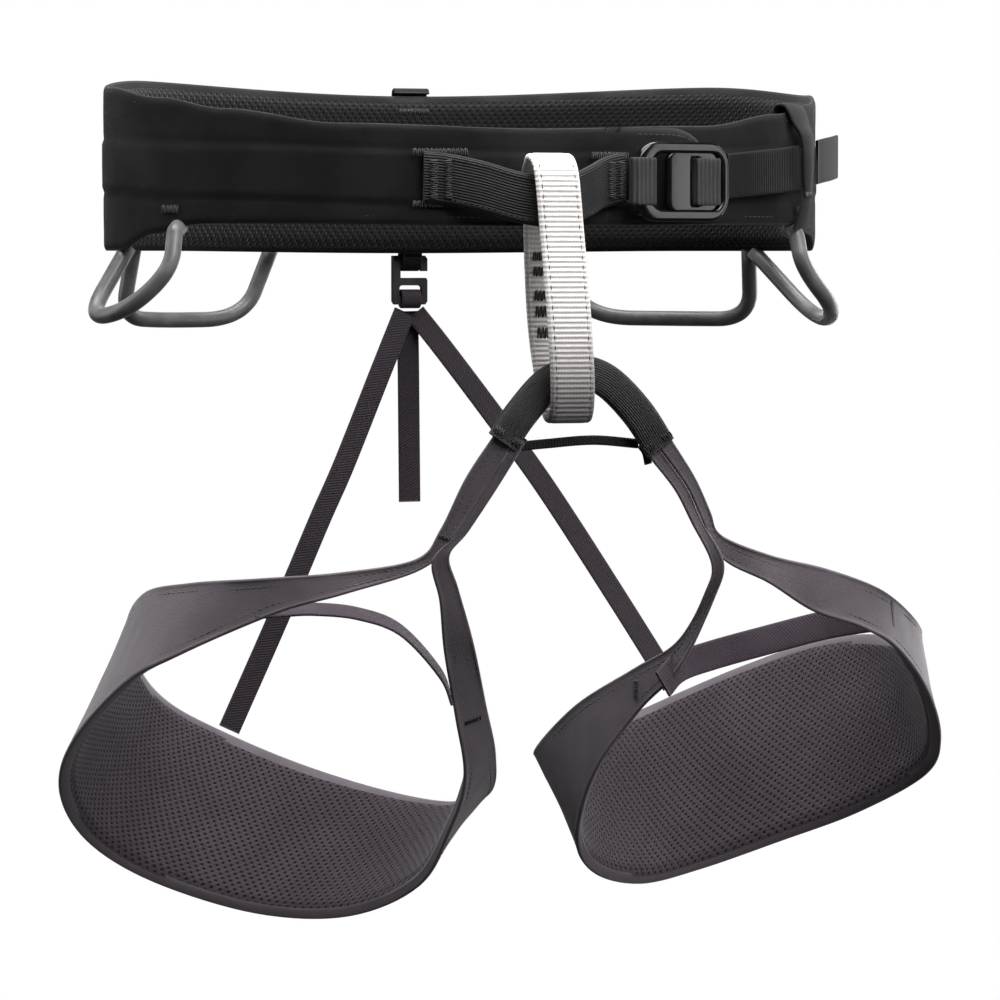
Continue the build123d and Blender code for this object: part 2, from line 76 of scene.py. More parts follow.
LEFT_LEG = [
    ((80, -101, -151), (80, -102, -161)),
    ((99, -109, -159), (97, -111, -170.5)),
    ((123, -111, -165), (116, -113, -182.5)),
    ((150, -102, -174), (139, -111, -190)),
    ((172, -83, -186), (159, -102, -200)),
    ((190.5, -53.5, -197), (181, -83, -220)),
    ((199.5, -18, -203), (197, -60.5, -243)),
    ((192.5, 16, -204), (201.5, -34.5, -262)),
    ((174, 40, -210), (180.5, -8, -281)),
    ((149, 52, -220), (150, 10, -295)),
    ((123, 55, -230), (115, 18, -307)),
    ((94, 50, -240), (84, 12, -311.5)),
    ((61, 34, -249), (57, -3, -303.5)),
    ((33, 8, -251), (44, -19, -286)),
    ((38.5, -31, -227), (43.5, -43.5, -255)),
    ((55, -60, -209), (56, -64, -227)),
    ((67, -81, -196), (67, -83, -208)),
    ((74, -96, -175), (78, -97, -178)),
    ((75, -101, -163), (80, -103, -162)),
]


# ---- curves and ribbons ----------------------------------------------------------------
def vec(point):
    """A point given in millimetres, as a vector in metres."""
    return Vector(point) * MM


def smooth(points, steps, closed=False):
    """Points on a smooth curve through the given vectors, steps per span."""
    count = len(points)
    result = []
    for i in range(count if closed else count - 1):
        if closed:
            a, b, c, d = (points[(i + k) % count] for k in (-1, 0, 1, 2))
        else:
            b, c = points[i], points[i + 1]
            a = points[i - 1] if i else b * 2 - c
            d = points[i + 2] if i + 2 < count else c * 2 - b
        for k in range(steps):
            t = k / steps
            result.append(b + (c - a) * (0.5 * t) + (a * 2 - b * 5 + c * 4 - d) * (0.5 * t * t)
                          + (b * 3 - a - c * 3 + d) * (0.5 * t ** 3))
    if not closed:
        result.append(points[-1].copy())
    return result


def table(pairs, x):
    """Value at x in a list of (x, value), eased between its entries."""
    for (x0, v0), (x1, v1) in zip(pairs, pairs[1:]):
        if x <= x1:
            t = max(0.0, (x - x0) / (x1 - x0))
            return v0 + (v1 - v0) * t * t * (3 - 2 * t)
    return pairs[-1][1]


def ease(low, high, x):
    """0 below low, 1 above high, and smooth between."""
    t = min(1.0, max(0.0, (x - low) / (high - low)))
    return t * t * (3 - 2 * t)


def belt_point(degrees, height, out=0.0):
    """Point on the belt's outer face, degrees from the front centre towards +X; mm in, metres out."""
    s = math.sin(math.radians(degrees))
    c = math.cos(math.radians(degrees))
    normal = Vector((s / WAIST_A, -c / WAIST_B, 0)).normalized()
    return vec((WAIST_A * s, -WAIST_B * c, height)) + normal * (out * MM)


def angle_at(x):
    """Degrees from the front centre at which the belt's front reaches x."""
    return math.degrees(math.asin(x / WAIST_A))


def belt_normal(degrees):
    """Direction out of the belt at an angle."""
    return (belt_point(degrees, 0, 1) - belt_point(degrees, 0)).normalized()


def pillow(value, power):
    """A value from -1 to 1 raised to a power, with its sign kept."""
    return math.copysign(abs(value) ** power, value)


def quarter(share):
    """Height of a quarter circle at a share of its width."""
    return math.sqrt(max(0.0, 1 - (1 - min(1.0, share)) ** 2))


def heading(path, i, closed=False):
    """From the point before to the point after, not scaled."""
    count = len(path)
    ahead = path[(i + 1) % count] if closed else path[min(i + 1, count - 1)]
    behind = path[i - 1] if closed or i else path[0]
    return ahead - behind


class Ribbon:
    """A strip between two edges, measured in metres along its middle and across it."""

    def __init__(self, upper, lower, closed=False):
        self.upper = upper
        self.lower = lower
        self.closed = closed
        count = len(upper)
        middle = [(a + b) * 0.5 for a, b in zip(upper, lower)]
        self.out = []
        for i in range(count):
            self.out.append(heading(middle, i, closed).cross(upper[i] - lower[i]).normalized())
        self.marks = [0.0]
        for i in range(count if closed else count - 1):
            self.marks.append(self.marks[-1] + (middle[(i + 1) % count] - middle[i]).length)
        self.length = self.marks[-1]

    def place(self, s):
        """Lower point, upper point and outward direction at s metres along."""
        if self.closed:
            s = s % self.length
        s = min(max(s, 0.0), self.length * 0.999999)
        low, high = 0, len(self.marks) - 1
        while high - low > 1:
            half = (low + high) // 2
            if self.marks[half] <= s:
                low = half
            else:
                high = half
        t = (s - self.marks[low]) / max(self.marks[low + 1] - self.marks[low], 1e-9)
        nxt = (low + 1) % len(self.upper)
        return (self.lower[low].lerp(self.lower[nxt], t), self.upper[low].lerp(self.upper[nxt], t),
                self.out[low].lerp(self.out[nxt], t).normalized())

    def point(self, s, v, out=0.0):
        """Point at s metres along, v from 0 (lower edge) to 1 (upper edge), out metres proud."""
        low, high, normal = self.place(s)
        return low.lerp(high, v) + normal * out

    def width(self, s):
        low, high, _ = self.place(s)
        return (high - low).length


def even_ribbon(path, half, closed=False):
    """A ribbon whose edges lie half to each side of a path of vectors."""
    return Ribbon([p + half for p in path], [p - half for p in path], closed)


def strap_ribbon(points, width, across, steps=8, closed=False):
    """A ribbon of constant width along a path of mm points; its width lies along one direction."""
    path = smooth([vec(p) for p in points], steps, closed)
    high = []
    low = []
    for i, p in enumerate(path):
        along = heading(path, i, closed).normalized()
        cross = (across - along * across.dot(along)).normalized() * (width * MM / 2)
        high.append(p + cross)
        low.append(p - cross)
    return Ribbon(high, low, closed)


# ---- meshes ----------------------------------------------------------------------------
def make_object(name, verts, faces, uvs=None, slots=None, materials=(), flat=False):
    """A mesh object; uvs has one pair per face corner, in metres along and across the piece."""
    mesh = bpy.data.meshes.new(name)
    mesh.from_pydata([tuple(v) for v in verts], [], faces)
    if uvs:
        layer = mesh.uv_layers.new(name="weave")
        flat_uvs = [value for pair in uvs for value in pair]
        layer.data.foreach_set("uv", flat_uvs)
    for material in materials:
        mesh.materials.append(material)
    if slots:
        mesh.polygons.foreach_set("material_index", slots)
    if not flat:
        mesh.polygons.foreach_set("use_smooth", [True] * len(mesh.polygons))
    mesh.update()
    piece = bpy.data.objects.new(name, mesh)
    bpy.context.scene.collection.objects.link(piece)
    return piece


def sweep_section(name, ribbon, section, rows, materials=()):
    """A closed skin round a section that may change along the ribbon.

    section(s) gives a list of (v, out, across, slot): place across the ribbon, height over it,
    the distance across for the weave, and the material slot of the face that follows.
    """
    closed = ribbon.closed
    end = ribbon.length
    verts = []
    rings = []
    marks = []
    total = rows if closed else rows + 1
    for i in range(total):
        s = end * i / rows
        ring = section(s)
        rings.append(ring)
        marks.append(s)
        low, high, normal = ribbon.place(s)
        verts.extend(low.lerp(high, v) + normal * out for v, out, _, _ in ring)
    size = len(rings[0])
    faces = []
    uvs = []
    slots = []
    for i in range(rows):
        j = (i + 1) % total
        s0 = marks[i]
        s1 = end * (i + 1) / rows
        for k in range(size):
            m = (k + 1) % size
            faces.append((i * size + k, j * size + k, j * size + m, i * size + m))
            a0 = rings[i][k][2]
            a1 = rings[i][m][2] if m else a0 + 1e-3
            uvs.extend([(s0, a0), (s1, a0), (s1, a1), (s0, a1)])
            slots.append(rings[i][k][3])
    if not closed:
        for first, ring in ((0, rings[0]), ((total - 1) * size, rings[-1])):
            loop = list(range(first, first + size))
            if not first:
                loop.reverse()
            faces.append(tuple(loop))
            s = marks[0] if not first else marks[-1]
            uvs.extend([(s, ring[k - first][2]) for k in loop])
            slots.append(ring[0][3])
    return make_object(name, verts, faces, uvs, slots, materials)


def strap_section(ribbon, thick, columns=12, crown=0.0, relief=None):
    """Section of a flat strap: rounded edges, an optional crown, and an optional relief(s, v)."""
    half = thick * MM / 2

    def section(s):
        width = ribbon.width(s)
        edge = min(half / width, 0.3)
        ring = []
        for k in range(columns + 1):
            v = edge + (1 - 2 * edge) * k / columns
            lift = crown * MM * math.sin(math.pi * v)
            if relief:
                lift += relief(s, v) * MM
            ring.append((v, half + lift, v * width, 0))
        for turn in (0.25, 0.5, 0.75):
            angle = math.pi * (0.5 - turn)
            ring.append((1 - edge + edge * math.cos(angle), half * math.sin(angle), width, 0))
        for k in range(columns + 1):
            v = 1 - edge - (1 - 2 * edge) * k / columns
            lift = relief(s, v) * MM if relief else 0.0
            ring.append((v, -half - lift, width * 2 - v * width, 0))
        for turn in (0.25, 0.5, 0.75):
            angle = math.pi * turn
            ring.append((edge - edge * math.sin(angle), -half * math.cos(angle), 2 * width, 0))
        return ring
    return section


def strap(name, ribbon, thick, material, step=1.0, columns=12, **options):
    """A woven strap along a ribbon."""
    rows = max(6, int(ribbon.length / (step * MM)))
    section = strap_section(ribbon, thick, columns, **options)
    return sweep_section(name, ribbon, section, rows, materials=(material,))


def tube(name, path, radius, material, sides=10):
    """A round tube along a list of points, in metres."""
    count = len(path)
    verts = []
    faces = []
    uvs = []
    run = 0.0
    marks = []
    for i, p in enumerate(path):
        along = heading(path, i).normalized()
        side = Vector((0, 0, 1))
        if abs(along.dot(side)) > 0.98:
            side = Vector((0, 1, 0))
        side = (side - along * side.dot(along)).normalized()
        other = along.cross(side)
        for k in range(sides):
            angle = 2 * math.pi * k / sides
            verts.append(p + side * (radius * math.cos(angle)) + other * (radius * math.sin(angle)))
        marks.append(run)
        if i + 1 < count:
            run += (path[i + 1] - p).length
    marks.append(run)
    for i in range(count - 1):
        j = i + 1
        for k in range(sides):
            m = (k + 1) % sides
            faces.append((i * sides + k, i * sides + m, j * sides + m, j * sides + k))
            a0 = k * 1e-3
            a1 = a0 + 1e-3
            uvs.extend([(marks[i], a0), (marks[i], a1), (marks[i + 1], a1), (marks[i + 1], a0)])
    faces.append(tuple(range(sides))[::-1])
    faces.append(tuple(range((count - 1) * sides, count * sides)))
    uvs.extend([(0, 0)] * sides + [(run, 0)] * sides)
    return make_object(name, verts, faces, uvs, None, (material,))


def capsule(verts, faces, a, b, radius, sides=6):
    """Adds one stitch: a short thread with round ends from a to b."""
    along = b - a
    if along.length < 1e-6:
        return
    axis = along.normalized()
    side = axis.orthogonal().normalized()
    other = axis.cross(side)
    first = len(verts)
    for t, size in ((0.0, 0.3), (0.12, 0.85), (0.5, 1.0), (0.88, 0.85), (1.0, 0.3)):
        for k in range(sides):
            angle = 2 * math.pi * k / sides
            verts.append(a + along * t + (side * math.cos(angle) + other * math.sin(angle)) * (radius * size))
    for i in range(4):
        for k in range(sides):
            m = (k + 1) % sides
            faces.append((first + i * sides + k, first + i * sides + m,
                          first + (i + 1) * sides + m, first + (i + 1) * sides + k))
    faces.append(tuple(first + k for k in reversed(range(sides))))
    faces.append(tuple(first + 4 * sides + k for k in range(sides)))


class Thread:
    """Gathers stitches that become one mesh."""

    def __init__(self):
        self.verts = []
        self.faces = []

    def row(self, track, start, end, pitch=2.7, duty=0.72, radius=0.28):
        """Running stitches along track(s), s and the pitch in metres and millimetres."""
        step = pitch * MM
        for k in range(int((end - start) / step)):
            s = start + k * step
            capsule(self.verts, self.faces, track(s), track(s + step * duty), radius * MM)

    def tack(self, centre, along, across, length, width, pitch=0.85, radius=0.42, lift=0.3):
        """A bar tack: dense zigzag stitches over two rails of thread."""
        normal = along.cross(across).normalized()
        count = max(2, int(length / pitch))
        for k in range(count + 1):
            shift = (k / count - 0.5) * length * MM
            lean = 0.18 * pitch * MM * (1 if k % 2 else -1)
            reach = (0.5 + 0.05 * math.sin(k * 2.4)) * width * MM
            rise = normal * (lift * MM * (1 + 0.25 * math.sin(k * 1.7)))
            a = centre + along * (shift - lean) + across * reach + rise
            b = centre + along * (shift + lean) - across * reach + rise
            capsule(self.verts, self.faces, a, b, radius * MM)

    def build(self, name, material):
        uvs = [(0, 0)] * sum(len(face) for face in self.faces)
        return make_object(name, self.verts, self.faces, uvs, None, (material,))


# ---- materials ---------------------------------------------------------------------------
class Finish:
    """A node material built step by step; sizes are given in millimetres."""

    def __init__(self, name, roughness=0.7, specular=0.3, sheen=0.0, sheen_rough=0.5, coat=0.0):
        self.material = bpy.data.materials.new(name)
        self.material.use_nodes = True
        self.tree = self.material.node_tree
        self.shader = self.tree.nodes["Principled BSDF"]
        for socket, value in (("Specular IOR Level", specular), ("Sheen Weight", sheen),
                              ("Sheen Roughness", sheen_rough), ("Coat Weight", coat),
                              ("Coat Roughness", 0.12), ("Roughness", roughness)):
            self.shader.inputs[socket].default_value = value
        uv = self.tree.nodes.new("ShaderNodeUVMap")
        uv.uv_map = "weave"
        split = self.tree.nodes.new("ShaderNodeSeparateXYZ")
        self.tree.links.new(uv.outputs[0], split.inputs[0])
        self.along = split.outputs[0]
        self.across = split.outputs[1]
        self.coords = self.tree.nodes.new("ShaderNodeTexCoord").outputs["Object"]

    def math(self, operation, a, b=0.0, clamp=False):
        node = self.tree.nodes.new("ShaderNodeMath")
        node.operation = operation
        node.use_clamp = clamp
        for socket, value in zip(node.inputs, (a, b)):
            if isinstance(value, (int, float)):
                socket.default_value = value
            else:
                self.tree.links.new(value, socket)
        return node.outputs[0]

    def total(self, *parts, clamp=False):
        """Sum of values, each times its share."""
        terms = [self.math("MULTIPLY", value, share) for value, share in parts]
        result = terms[0]
        for k in range(1, len(terms)):
            result = self.math("ADD", result, terms[k], clamp=clamp and k == len(terms) - 1)
        return result

    def wave(self, along=0.0, across=0.0, shift=0.0):
        """A wave from 0 to 1 whose period is given along and across the piece (0 for none)."""
        total = shift
        for value, period in ((self.along, along), (self.across, across)):
            if period:
                total = self.math("ADD", self.math("MULTIPLY", value, 2000 * math.pi / period), total)
        return self.half(self.math("SINE", total))

    def half(self, value):
        """Turns -1..1 into 0..1."""
        return self.math("ADD", self.math("MULTIPLY", value, 0.5), 0.5)

    def noise(self, size, detail=3.0, stretch=(1, 1, 1)):
        """Soft noise from about 0.25 to 0.75 with features of the given size."""
        mapping = self.tree.nodes.new("ShaderNodeMapping")
        mapping.inputs["Scale"].default_value = stretch
        self.tree.links.new(self.coords, mapping.inputs["Vector"])
        node = self.tree.nodes.new("ShaderNodeTexNoise")
        node.inputs["Scale"].default_value = 1000 / size
        node.inputs["Detail"].default_value = detail
        self.tree.links.new(mapping.outputs[0], node.inputs["Vector"])
        return node.outputs[0]

    def between(self, value, low, high, out_low=0.0, out_high=1.0):
        node = self.tree.nodes.new("ShaderNodeMapRange")
        node.interpolation_type = "SMOOTHSTEP"
        self.tree.links.new(value, node.inputs["Value"])
        for socket, number in zip(node.inputs[1:5], (low, high, out_low, out_high)):
            socket.default_value = number
        return node.outputs[0]

    def blend(self, factor, first, second):
        """A colour between two colours or colour sockets."""
        node = self.tree.nodes.new("ShaderNodeMix")
        node.data_type = "RGBA"
        self.tree.links.new(factor, node.inputs[0])
        for socket, value in ((node.inputs[6], first), (node.inputs[7], second)):
            if isinstance(value, tuple):
                socket.default_value = (*value, 1)
            else:
                self.tree.links.new(value, socket)
        return node.outputs[2]

    def colour(self, value):
        self.tree.links.new(value, self.shader.inputs["Base Color"])

    def rough(self, value):
        self.tree.links.new(value, self.shader.inputs["Roughness"])

    def bump(self, height, distance, strength=1.0):
        """Bumps of the given height in millimetres."""
        node = self.tree.nodes.new("ShaderNodeBump")
        node.inputs["Strength"].default_value = strength
        node.inputs["Distance"].default_value = distance * MM
        self.tree.links.new(height, node.inputs["Height"])
        self.tree.links.new(node.outputs[0], self.shader.inputs["Normal"])


def grey(value, warm=0.0):
    """A neutral colour, or with a slight purple cast."""
    return (value * (1 + warm), value * (1 - warm), value * (1 + warm * 0.8))


def fabric(name, dark, light, pitch=0.55, warm=0.0, sheen=0.1, rough=0.8, specular=0.2, depth=0.05):
    """Tightly woven face fabric with a fine twill and faint cloudiness."""
    f = Finish(name, rough, specular, sheen)
    twill = f.wave(pitch * 1.4, pitch * 1.9)
    warp = f.wave(0, pitch)
    cloud = f.between(f.noise(26, 4), 0.35, 0.68)
    fleck = f.between(f.noise(0.8, 2), 0.35, 0.7)
    weave = f.total((twill, 0.6), (warp, 0.4))
    tone = f.total((weave, 0.5), (cloud, 0.3), (fleck, 0.2), clamp=True)
    f.colour(f.blend(tone, grey(dark, warm), grey(light, warm)))
    f.rough(f.between(cloud, 0, 1, rough + 0.06, rough - 0.08))
    f.bump(f.math("ADD", weave, f.math("MULTIPLY", fleck, 0.6)), depth)
    return f.material


def spacer_mesh(name, dark, light, hole, warm=0.0, row=3.5, column=3.6, lean=0.0):
    """Knitted spacer mesh: staggered small holes between soft lumps."""
    f = Finish(name, 0.85, 0.15, 0.12)
    u = f.math("MULTIPLY", f.math("ADD", f.along, f.math("MULTIPLY", f.across, lean)), 2000 * math.pi / column)
    v = f.math("MULTIPLY", f.across, 2000 * math.pi / row)
    cell = f.math("MULTIPLY", f.math("COSINE", u), f.math("COSINE", v))
    pit = f.between(cell, 0.5, 0.8)
    knit = f.wave(0.62, 0.9)
    cloud = f.between(f.noise(30, 3), 0.35, 0.68)
    tone = f.total((knit, 0.35), (cloud, 0.35), (f.between(cell, -1, 0.4, 1, 0), 0.3), clamp=True)
    body = f.blend(tone, grey(dark, warm), grey(light, warm))
    f.colour(f.blend(pit, body, grey(hole, warm)))
    height = f.math("SUBTRACT", f.math("MULTIPLY", knit, 0.1), f.between(cell, 0.1, 0.85))
    f.bump(height, 0.55)
    return f.material


def ribbed(name, dark, light, along=0.0, across=0.0, fine=0.45, rough=0.6, sheen=0.1, depth=0.18, warm=0.0,
           specular=0.3):
    """Webbing with ribs along or across it, and the finer yarns that cross them."""
    f = Finish(name, rough, specular, sheen, 0.4)
    rib = f.wave(along, across)
    yarn = f.wave(fine if across else 0, fine if along else 0)
    fleck = f.between(f.noise(0.7, 2), 0.3, 0.7)
    cloud = f.between(f.noise(14, 3), 0.35, 0.68)
    tone = f.total((rib, 0.45), (yarn, 0.2), (fleck, 0.2), (cloud, 0.15), clamp=True)
    f.colour(f.blend(tone, grey(dark, warm), grey(light, warm)))
    f.rough(f.between(rib, 0, 1, rough + 0.12, rough - 0.06))
    f.bump(f.math("ADD", rib, f.math("MULTIPLY", yarn, 0.3)), depth)
    return f.material


def belay_webbing():
    """White structural webbing, with painted shade that greys it low on the loop and partly on the back strand."""
    f = Finish("belay_webbing", 0.55, 0.35, 0.25, 0.4)
    rib = f.wave(2.05, 0)
    yarn = f.wave(0, 0.62)
    spot = f.tree.nodes.new("ShaderNodeSeparateXYZ")
    f.tree.links.new(f.coords, spot.inputs[0])
    # Painted shade: the colour turns grey low on the front of the loop, where less light from above falls, and partly
    # grey on the back strand, which lies in shade.
    low = f.between(spot.outputs[2], -0.100, -0.050, 1, 0)
    back = f.between(spot.outputs[1], -0.106, -0.098)
    front = f.math("MULTIPLY", low, f.math("SUBTRACT", 1.0, back))
    painted_shade_share = f.total((front, 1.0), (back, 0.3), clamp=True)
    fleck = f.between(f.noise(1.1, 3), 0.3, 0.7)
    base = f.blend(painted_shade_share, (0.93, 0.90, 0.88), (0.22, 0.20, 0.203))
    shade = f.blend(painted_shade_share, (0.68, 0.65, 0.63), (0.17, 0.158, 0.16))
    tone = f.total((rib, 0.62), (yarn, 0.14), (fleck, 0.24), clamp=True)
    f.colour(f.blend(tone, shade, base))
    f.rough(f.between(rib, 0, 1, 0.7, 0.5))
    f.bump(f.math("ADD", rib, f.math("MULTIPLY", yarn, 0.35)), 0.22)
    return f.material


def hard(name, dark, light, rough, coat=0.0, specular=0.5, grain=0.4, depth=0.01, sheen=0.0, warm=0.0):
    """Coated metal, moulded plastic or thread, with a fine grain and slight wear."""
    f = Finish(name, rough, specular, sheen, 0.3, coat)
    grainy = f.noise(grain, 3)
    wear = f.between(f.noise(9, 5), 0.42, 0.72)
    f.colour(f.blend(wear, grey(dark, warm), grey(light, warm)))
    f.rough(f.between(wear, 0, 1, rough, rough + 0.1))
    f.bump(grainy, depth)
    return f.material


BELT_FABRIC = fabric("belt_fabric", 0.0038, 0.0076, 0.5, 0.07, sheen=0.06, rough=0.85, specular=0.16)
BELT_EDGE = fabric("belt_edge", 0.005, 0.010, 0.5, 0.07, sheen=0.15, rough=0.8)
BELT_MESH = spacer_mesh("belt_mesh", 0.0035, 0.0085, 0.0006, 0.08, lean=0.3)
TAB_FABRIC = fabric("tab_fabric", 0.0042, 0.0084, 0.5, 0.07, sheen=0.08, rough=0.8, specular=0.18)
TIE_IN_WEBBING = ribbed("tie_in_webbing", 0.001, 0.011, 0, 1.15, depth=0.25, rough=0.55, warm=0.05, sheen=0.04)
SLEEVE_WEBBING = ribbed("sleeve_webbing", 0.002, 0.024, 0, 0.95, depth=0.25, rough=0.45, warm=0.03)
BLACK_STRAP = ribbed("black_strap", 0.002, 0.007, 1.25, 0, depth=0.16, rough=0.6, warm=0.05, sheen=0.03,
                     specular=0.2)
WRAP_STRAP = ribbed("wrap_strap", 0.006, 0.045, 2.0, 0, depth=0.35, rough=0.5, warm=0.03)
ELASTIC = ribbed("elastic", 0.018, 0.055, 1.3, 2.3, depth=0.14, rough=0.75, warm=0.16)
RISER = ribbed("riser_elastic", 0.012, 0.026, 1.3, 2.3, depth=0.12, rough=0.75, warm=0.17)
BELAY = belay_webbing()
LEG_FABRIC = fabric("leg_fabric", 0.052, 0.088, 0.62, 0.09, sheen=0.22, rough=0.72, specular=0.25)
LEG_EDGE = fabric("leg_edge", 0.055, 0.09, 0.5, 0.09, sheen=0.25, rough=0.7)
LEG_MESH = spacer_mesh("leg_mesh", 0.026, 0.050, 0.002, 0.13, lean=0.25)
THREAD_BLACK = hard("thread_black", 0.006, 0.02, 0.5, sheen=0.3, grain=0.3, depth=0.05)
THREAD_GREY = hard("thread_grey", 0.03, 0.07, 0.6, sheen=0.3, grain=0.3, depth=0.05)
THREAD_BELT = hard("thread_belt", 0.012, 0.03, 0.6, sheen=0.3, grain=0.3, depth=0.05)
TUBE = hard("gear_tube", 0.085, 0.125, 0.36, sheen=0.6, specular=0.45, grain=1.2, depth=0.01, warm=0.02)
METAL = hard("black_metal", 0.002, 0.004, 0.13, coat=0.25, specular=0.3, grain=0.5, depth=0.003)
HOOK = hard("hook_plastic", 0.006, 0.012, 0.42, specular=0.45, grain=0.5, depth=0.01)


def place(piece, body, slot, *nodes):
    """The piece moves with a CAD body and stands for its nodes; slot is not used."""
    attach(piece, body)
    if nodes:
        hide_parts(*nodes)
    return piece


# ---- padded bands: the belt and the leg loops -------------------------------------------
def pad_section(ribbon, thick, edge, relief, lined, columns=30, rim=3.0, shoulder=(3.0, 8.0), lean=0.5):
    """Section of a padded band: shell outside, bound edges, a lining inside a narrow rim.

    thick(s) and relief(s, height) are in millimetres; lined(s) says where the lining is. The
    edges lie at lean of the thickness, from 0 at the shell to 1 at the lining.
    """
    spots = [0.5 * k / columns + 0.25 * (1 - math.cos(math.pi * k / columns)) for k in range(columns + 1)]

    def section(s):
        width = ribbon.width(s)
        full = thick(s) * MM
        bead = min(edge * MM, full) / 2
        rest = -bead - (full - 2 * bead) * lean
        reach = width - 2 * bead
        outer = min(shoulder[0] * MM, reach * 0.3)
        inner = min(shoulder[1] * MM, reach * 0.3)
        lining = lined(s)
        ring = []
        for t in spots:
            d = bead + reach * t
            near = min(d, width - d) - bead
            rise = quarter(near / outer)
            out = (rest + bead) * (1 - rise) + relief(s, d / MM) * MM * rise
            ring.append((d / width, out, d, 0))
        for turn in (0.25, 0.5, 0.75):
            angle = math.pi * (0.5 - turn)
            ring.append((1 - bead / width + bead / width * math.cos(angle),
                         rest + bead * math.sin(angle), width, 1))
        for t in spots:
            d = bead + reach * (1 - t)
            near = min(d, width - d) - bead
            rise = quarter(near / inner)
            out = rest - bead - (full + rest - bead) * rise
            seam = abs(near - rim * MM)
            if lining and seam < 0.9 * MM:
                out += 0.7 * MM * (1 - seam / (0.9 * MM))
            ring.append((d / width, out, d, 2 if lining and near > rim * MM else 0))
        for turn in (0.25, 0.5, 0.75):
            angle = math.pi * turn
            ring.append((bead / width - bead / width * math.sin(angle),
                         rest - bead * math.cos(angle), 0.0, 1))
        return ring
    return section


def front_angle(degrees):
    """0..180 degrees from the front centre, whichever side."""
    return abs((degrees + 180) % 360 - 180)


DEGREE_STEP = 1.5
belt_spots = [k * DEGREE_STEP for k in range(int(360 / DEGREE_STEP))]
belt_high = [belt_point(a, table(BELT_TOP, front_angle(a))) for a in belt_spots]
belt_low = [belt_point(a, table(BELT_BOTTOM, front_angle(a))) for a in belt_spots]
belt = Ribbon(belt_high, belt_low, closed=True)


def belt_degrees(s):
    """Angle round the belt at s metres along it."""
    low, _, _ = belt.place(s)
    return math.degrees(math.atan2(low.x / WAIST_A, -low.y / WAIST_B)) % 360


def belt_relief(s, height):
    """The load webbing shows under the shell as a raised band, with soft ripples round it."""
    angle = belt_degrees(s)
    side = front_angle(angle)
    z = table(BELT_BOTTOM, side) + height
    middle = table(BAND_MID, side)
    away = abs(z - middle)
    band = 1 - ease(9.2, 11.2, away)
    groove = math.exp(-((away - 11.4) / 1.1) ** 2)
    spot = belt.place(s)[0]
    ripple = noise.noise(Vector((spot.x * 60, spot.y * 60, z * 0.03))) * 0.35
    fine = noise.noise(Vector((spot.x * 170, spot.y * 170, z * 0.10))) * 0.16
    return 0.55 * band - 0.3 * groove - 0.35 + (ripple + fine) * (1 - 0.4 * band)


belt_section = pad_section(belt, lambda s: BELT_THICK, 1.7, belt_relief, lambda s: True,
                           columns=34, rim=2.2, lean=0.15)
belt_pad = sweep_section("belt_pad", belt, belt_section, 420, materials=(BELT_FABRIC, BELT_EDGE, BELT_MESH))
place(belt_pad, ROOT, "belt_fabric", "belt_outer_shell", "belt_load_webbing", "belt_foam_core", "belt_mesh_lining",
      "belt_top_binding", "belt_bottom_binding")

UP = Vector((0, 0, 1))
belt_thread = Thread()
for share in (0.0, 1.0):
    def along_edge(s, share=share):
        width = belt.width(s)
        d = 3.4 * MM if share == 0 else width - 3.4 * MM
        return belt.point(s, d / width, -0.75 * MM)
    belt_thread.row(along_edge, 0.0, belt.length, 2.9)
for angle, z in ((-63, -16), (59.4, -15.6)):
    outward = belt_normal(angle)
    belt_thread.tack(belt_point(angle, z, -0.2), outward.cross(-UP), UP, 7.5, 3.4, 0.9, 0.36)
place(belt_thread.build("belt_stitching", THREAD_BELT), ROOT, "black_webbing")

# The wearer's right end of the belt finishes in a rounded tab over the other end.
tab_spots = [12 + 0.5 * k for k in range(40)]


def tab_half(angle):
    """Half height of the tab, which rounds off towards its end."""
    reach = max(0.0, (angle - 22.5) / 9.0)
    return 19.6 * math.sqrt(max(0.0, 1 - reach ** 2.3)) if reach < 1 else 0.0


tab_spots = [a for a in tab_spots if tab_half(a) > 3]
tab_high = [belt_point(a, min(-1.6 + tab_half(a), table(BELT_TOP, a) + 0.8 * ease(14, 20, a))) for a in tab_spots]
tab_low = [belt_point(a, max(-1.6 - tab_half(a), table(BELT_BOTTOM, a))) for a in tab_spots]
tab = Ribbon(tab_high, tab_low)


def tab_out(s):
    """The tab lies flush where it leaves the belt and stands proud at its end."""
    share = ease(0.0, 0.2, s / tab.length)
    return (-1.4 + 2.2 * share) * MM


def tab_section(s):
    width = tab.width(s)
    top = tab_out(s)
    ring = []
    for k in range(17):
        d = width * k / 16
        near = min(d, width - d)
        drop = 1.1 * MM * (1 - quarter(near / (2.0 * MM)))
        ring.append((d / width, top + 0.5 * MM - drop, d, 0))
    for k in range(17):
        ring.append((1 - k / 16, -0.4 * MM, width * (1 - k / 16), 0))
    return ring


tab_piece = sweep_section("belt_tab", tab, tab_section, 60, materials=(TAB_FABRIC,))
place(tab_piece, ROOT, "belt_fabric", "belt_overlap_tab")
tab_thread = Thread()
for top in (True, False):
    def tab_track(s, top=top):
        inset = 3.0 * MM / tab.width(s)
        return tab.point(s, 1 - inset if top else inset, tab_out(s) + 0.45 * MM)
    tab_thread.row(tab_track, 0.014, tab.length * 0.9)
place(tab_thread.build("tab_stitching", THREAD_BELT), ROOT, "black_webbing")

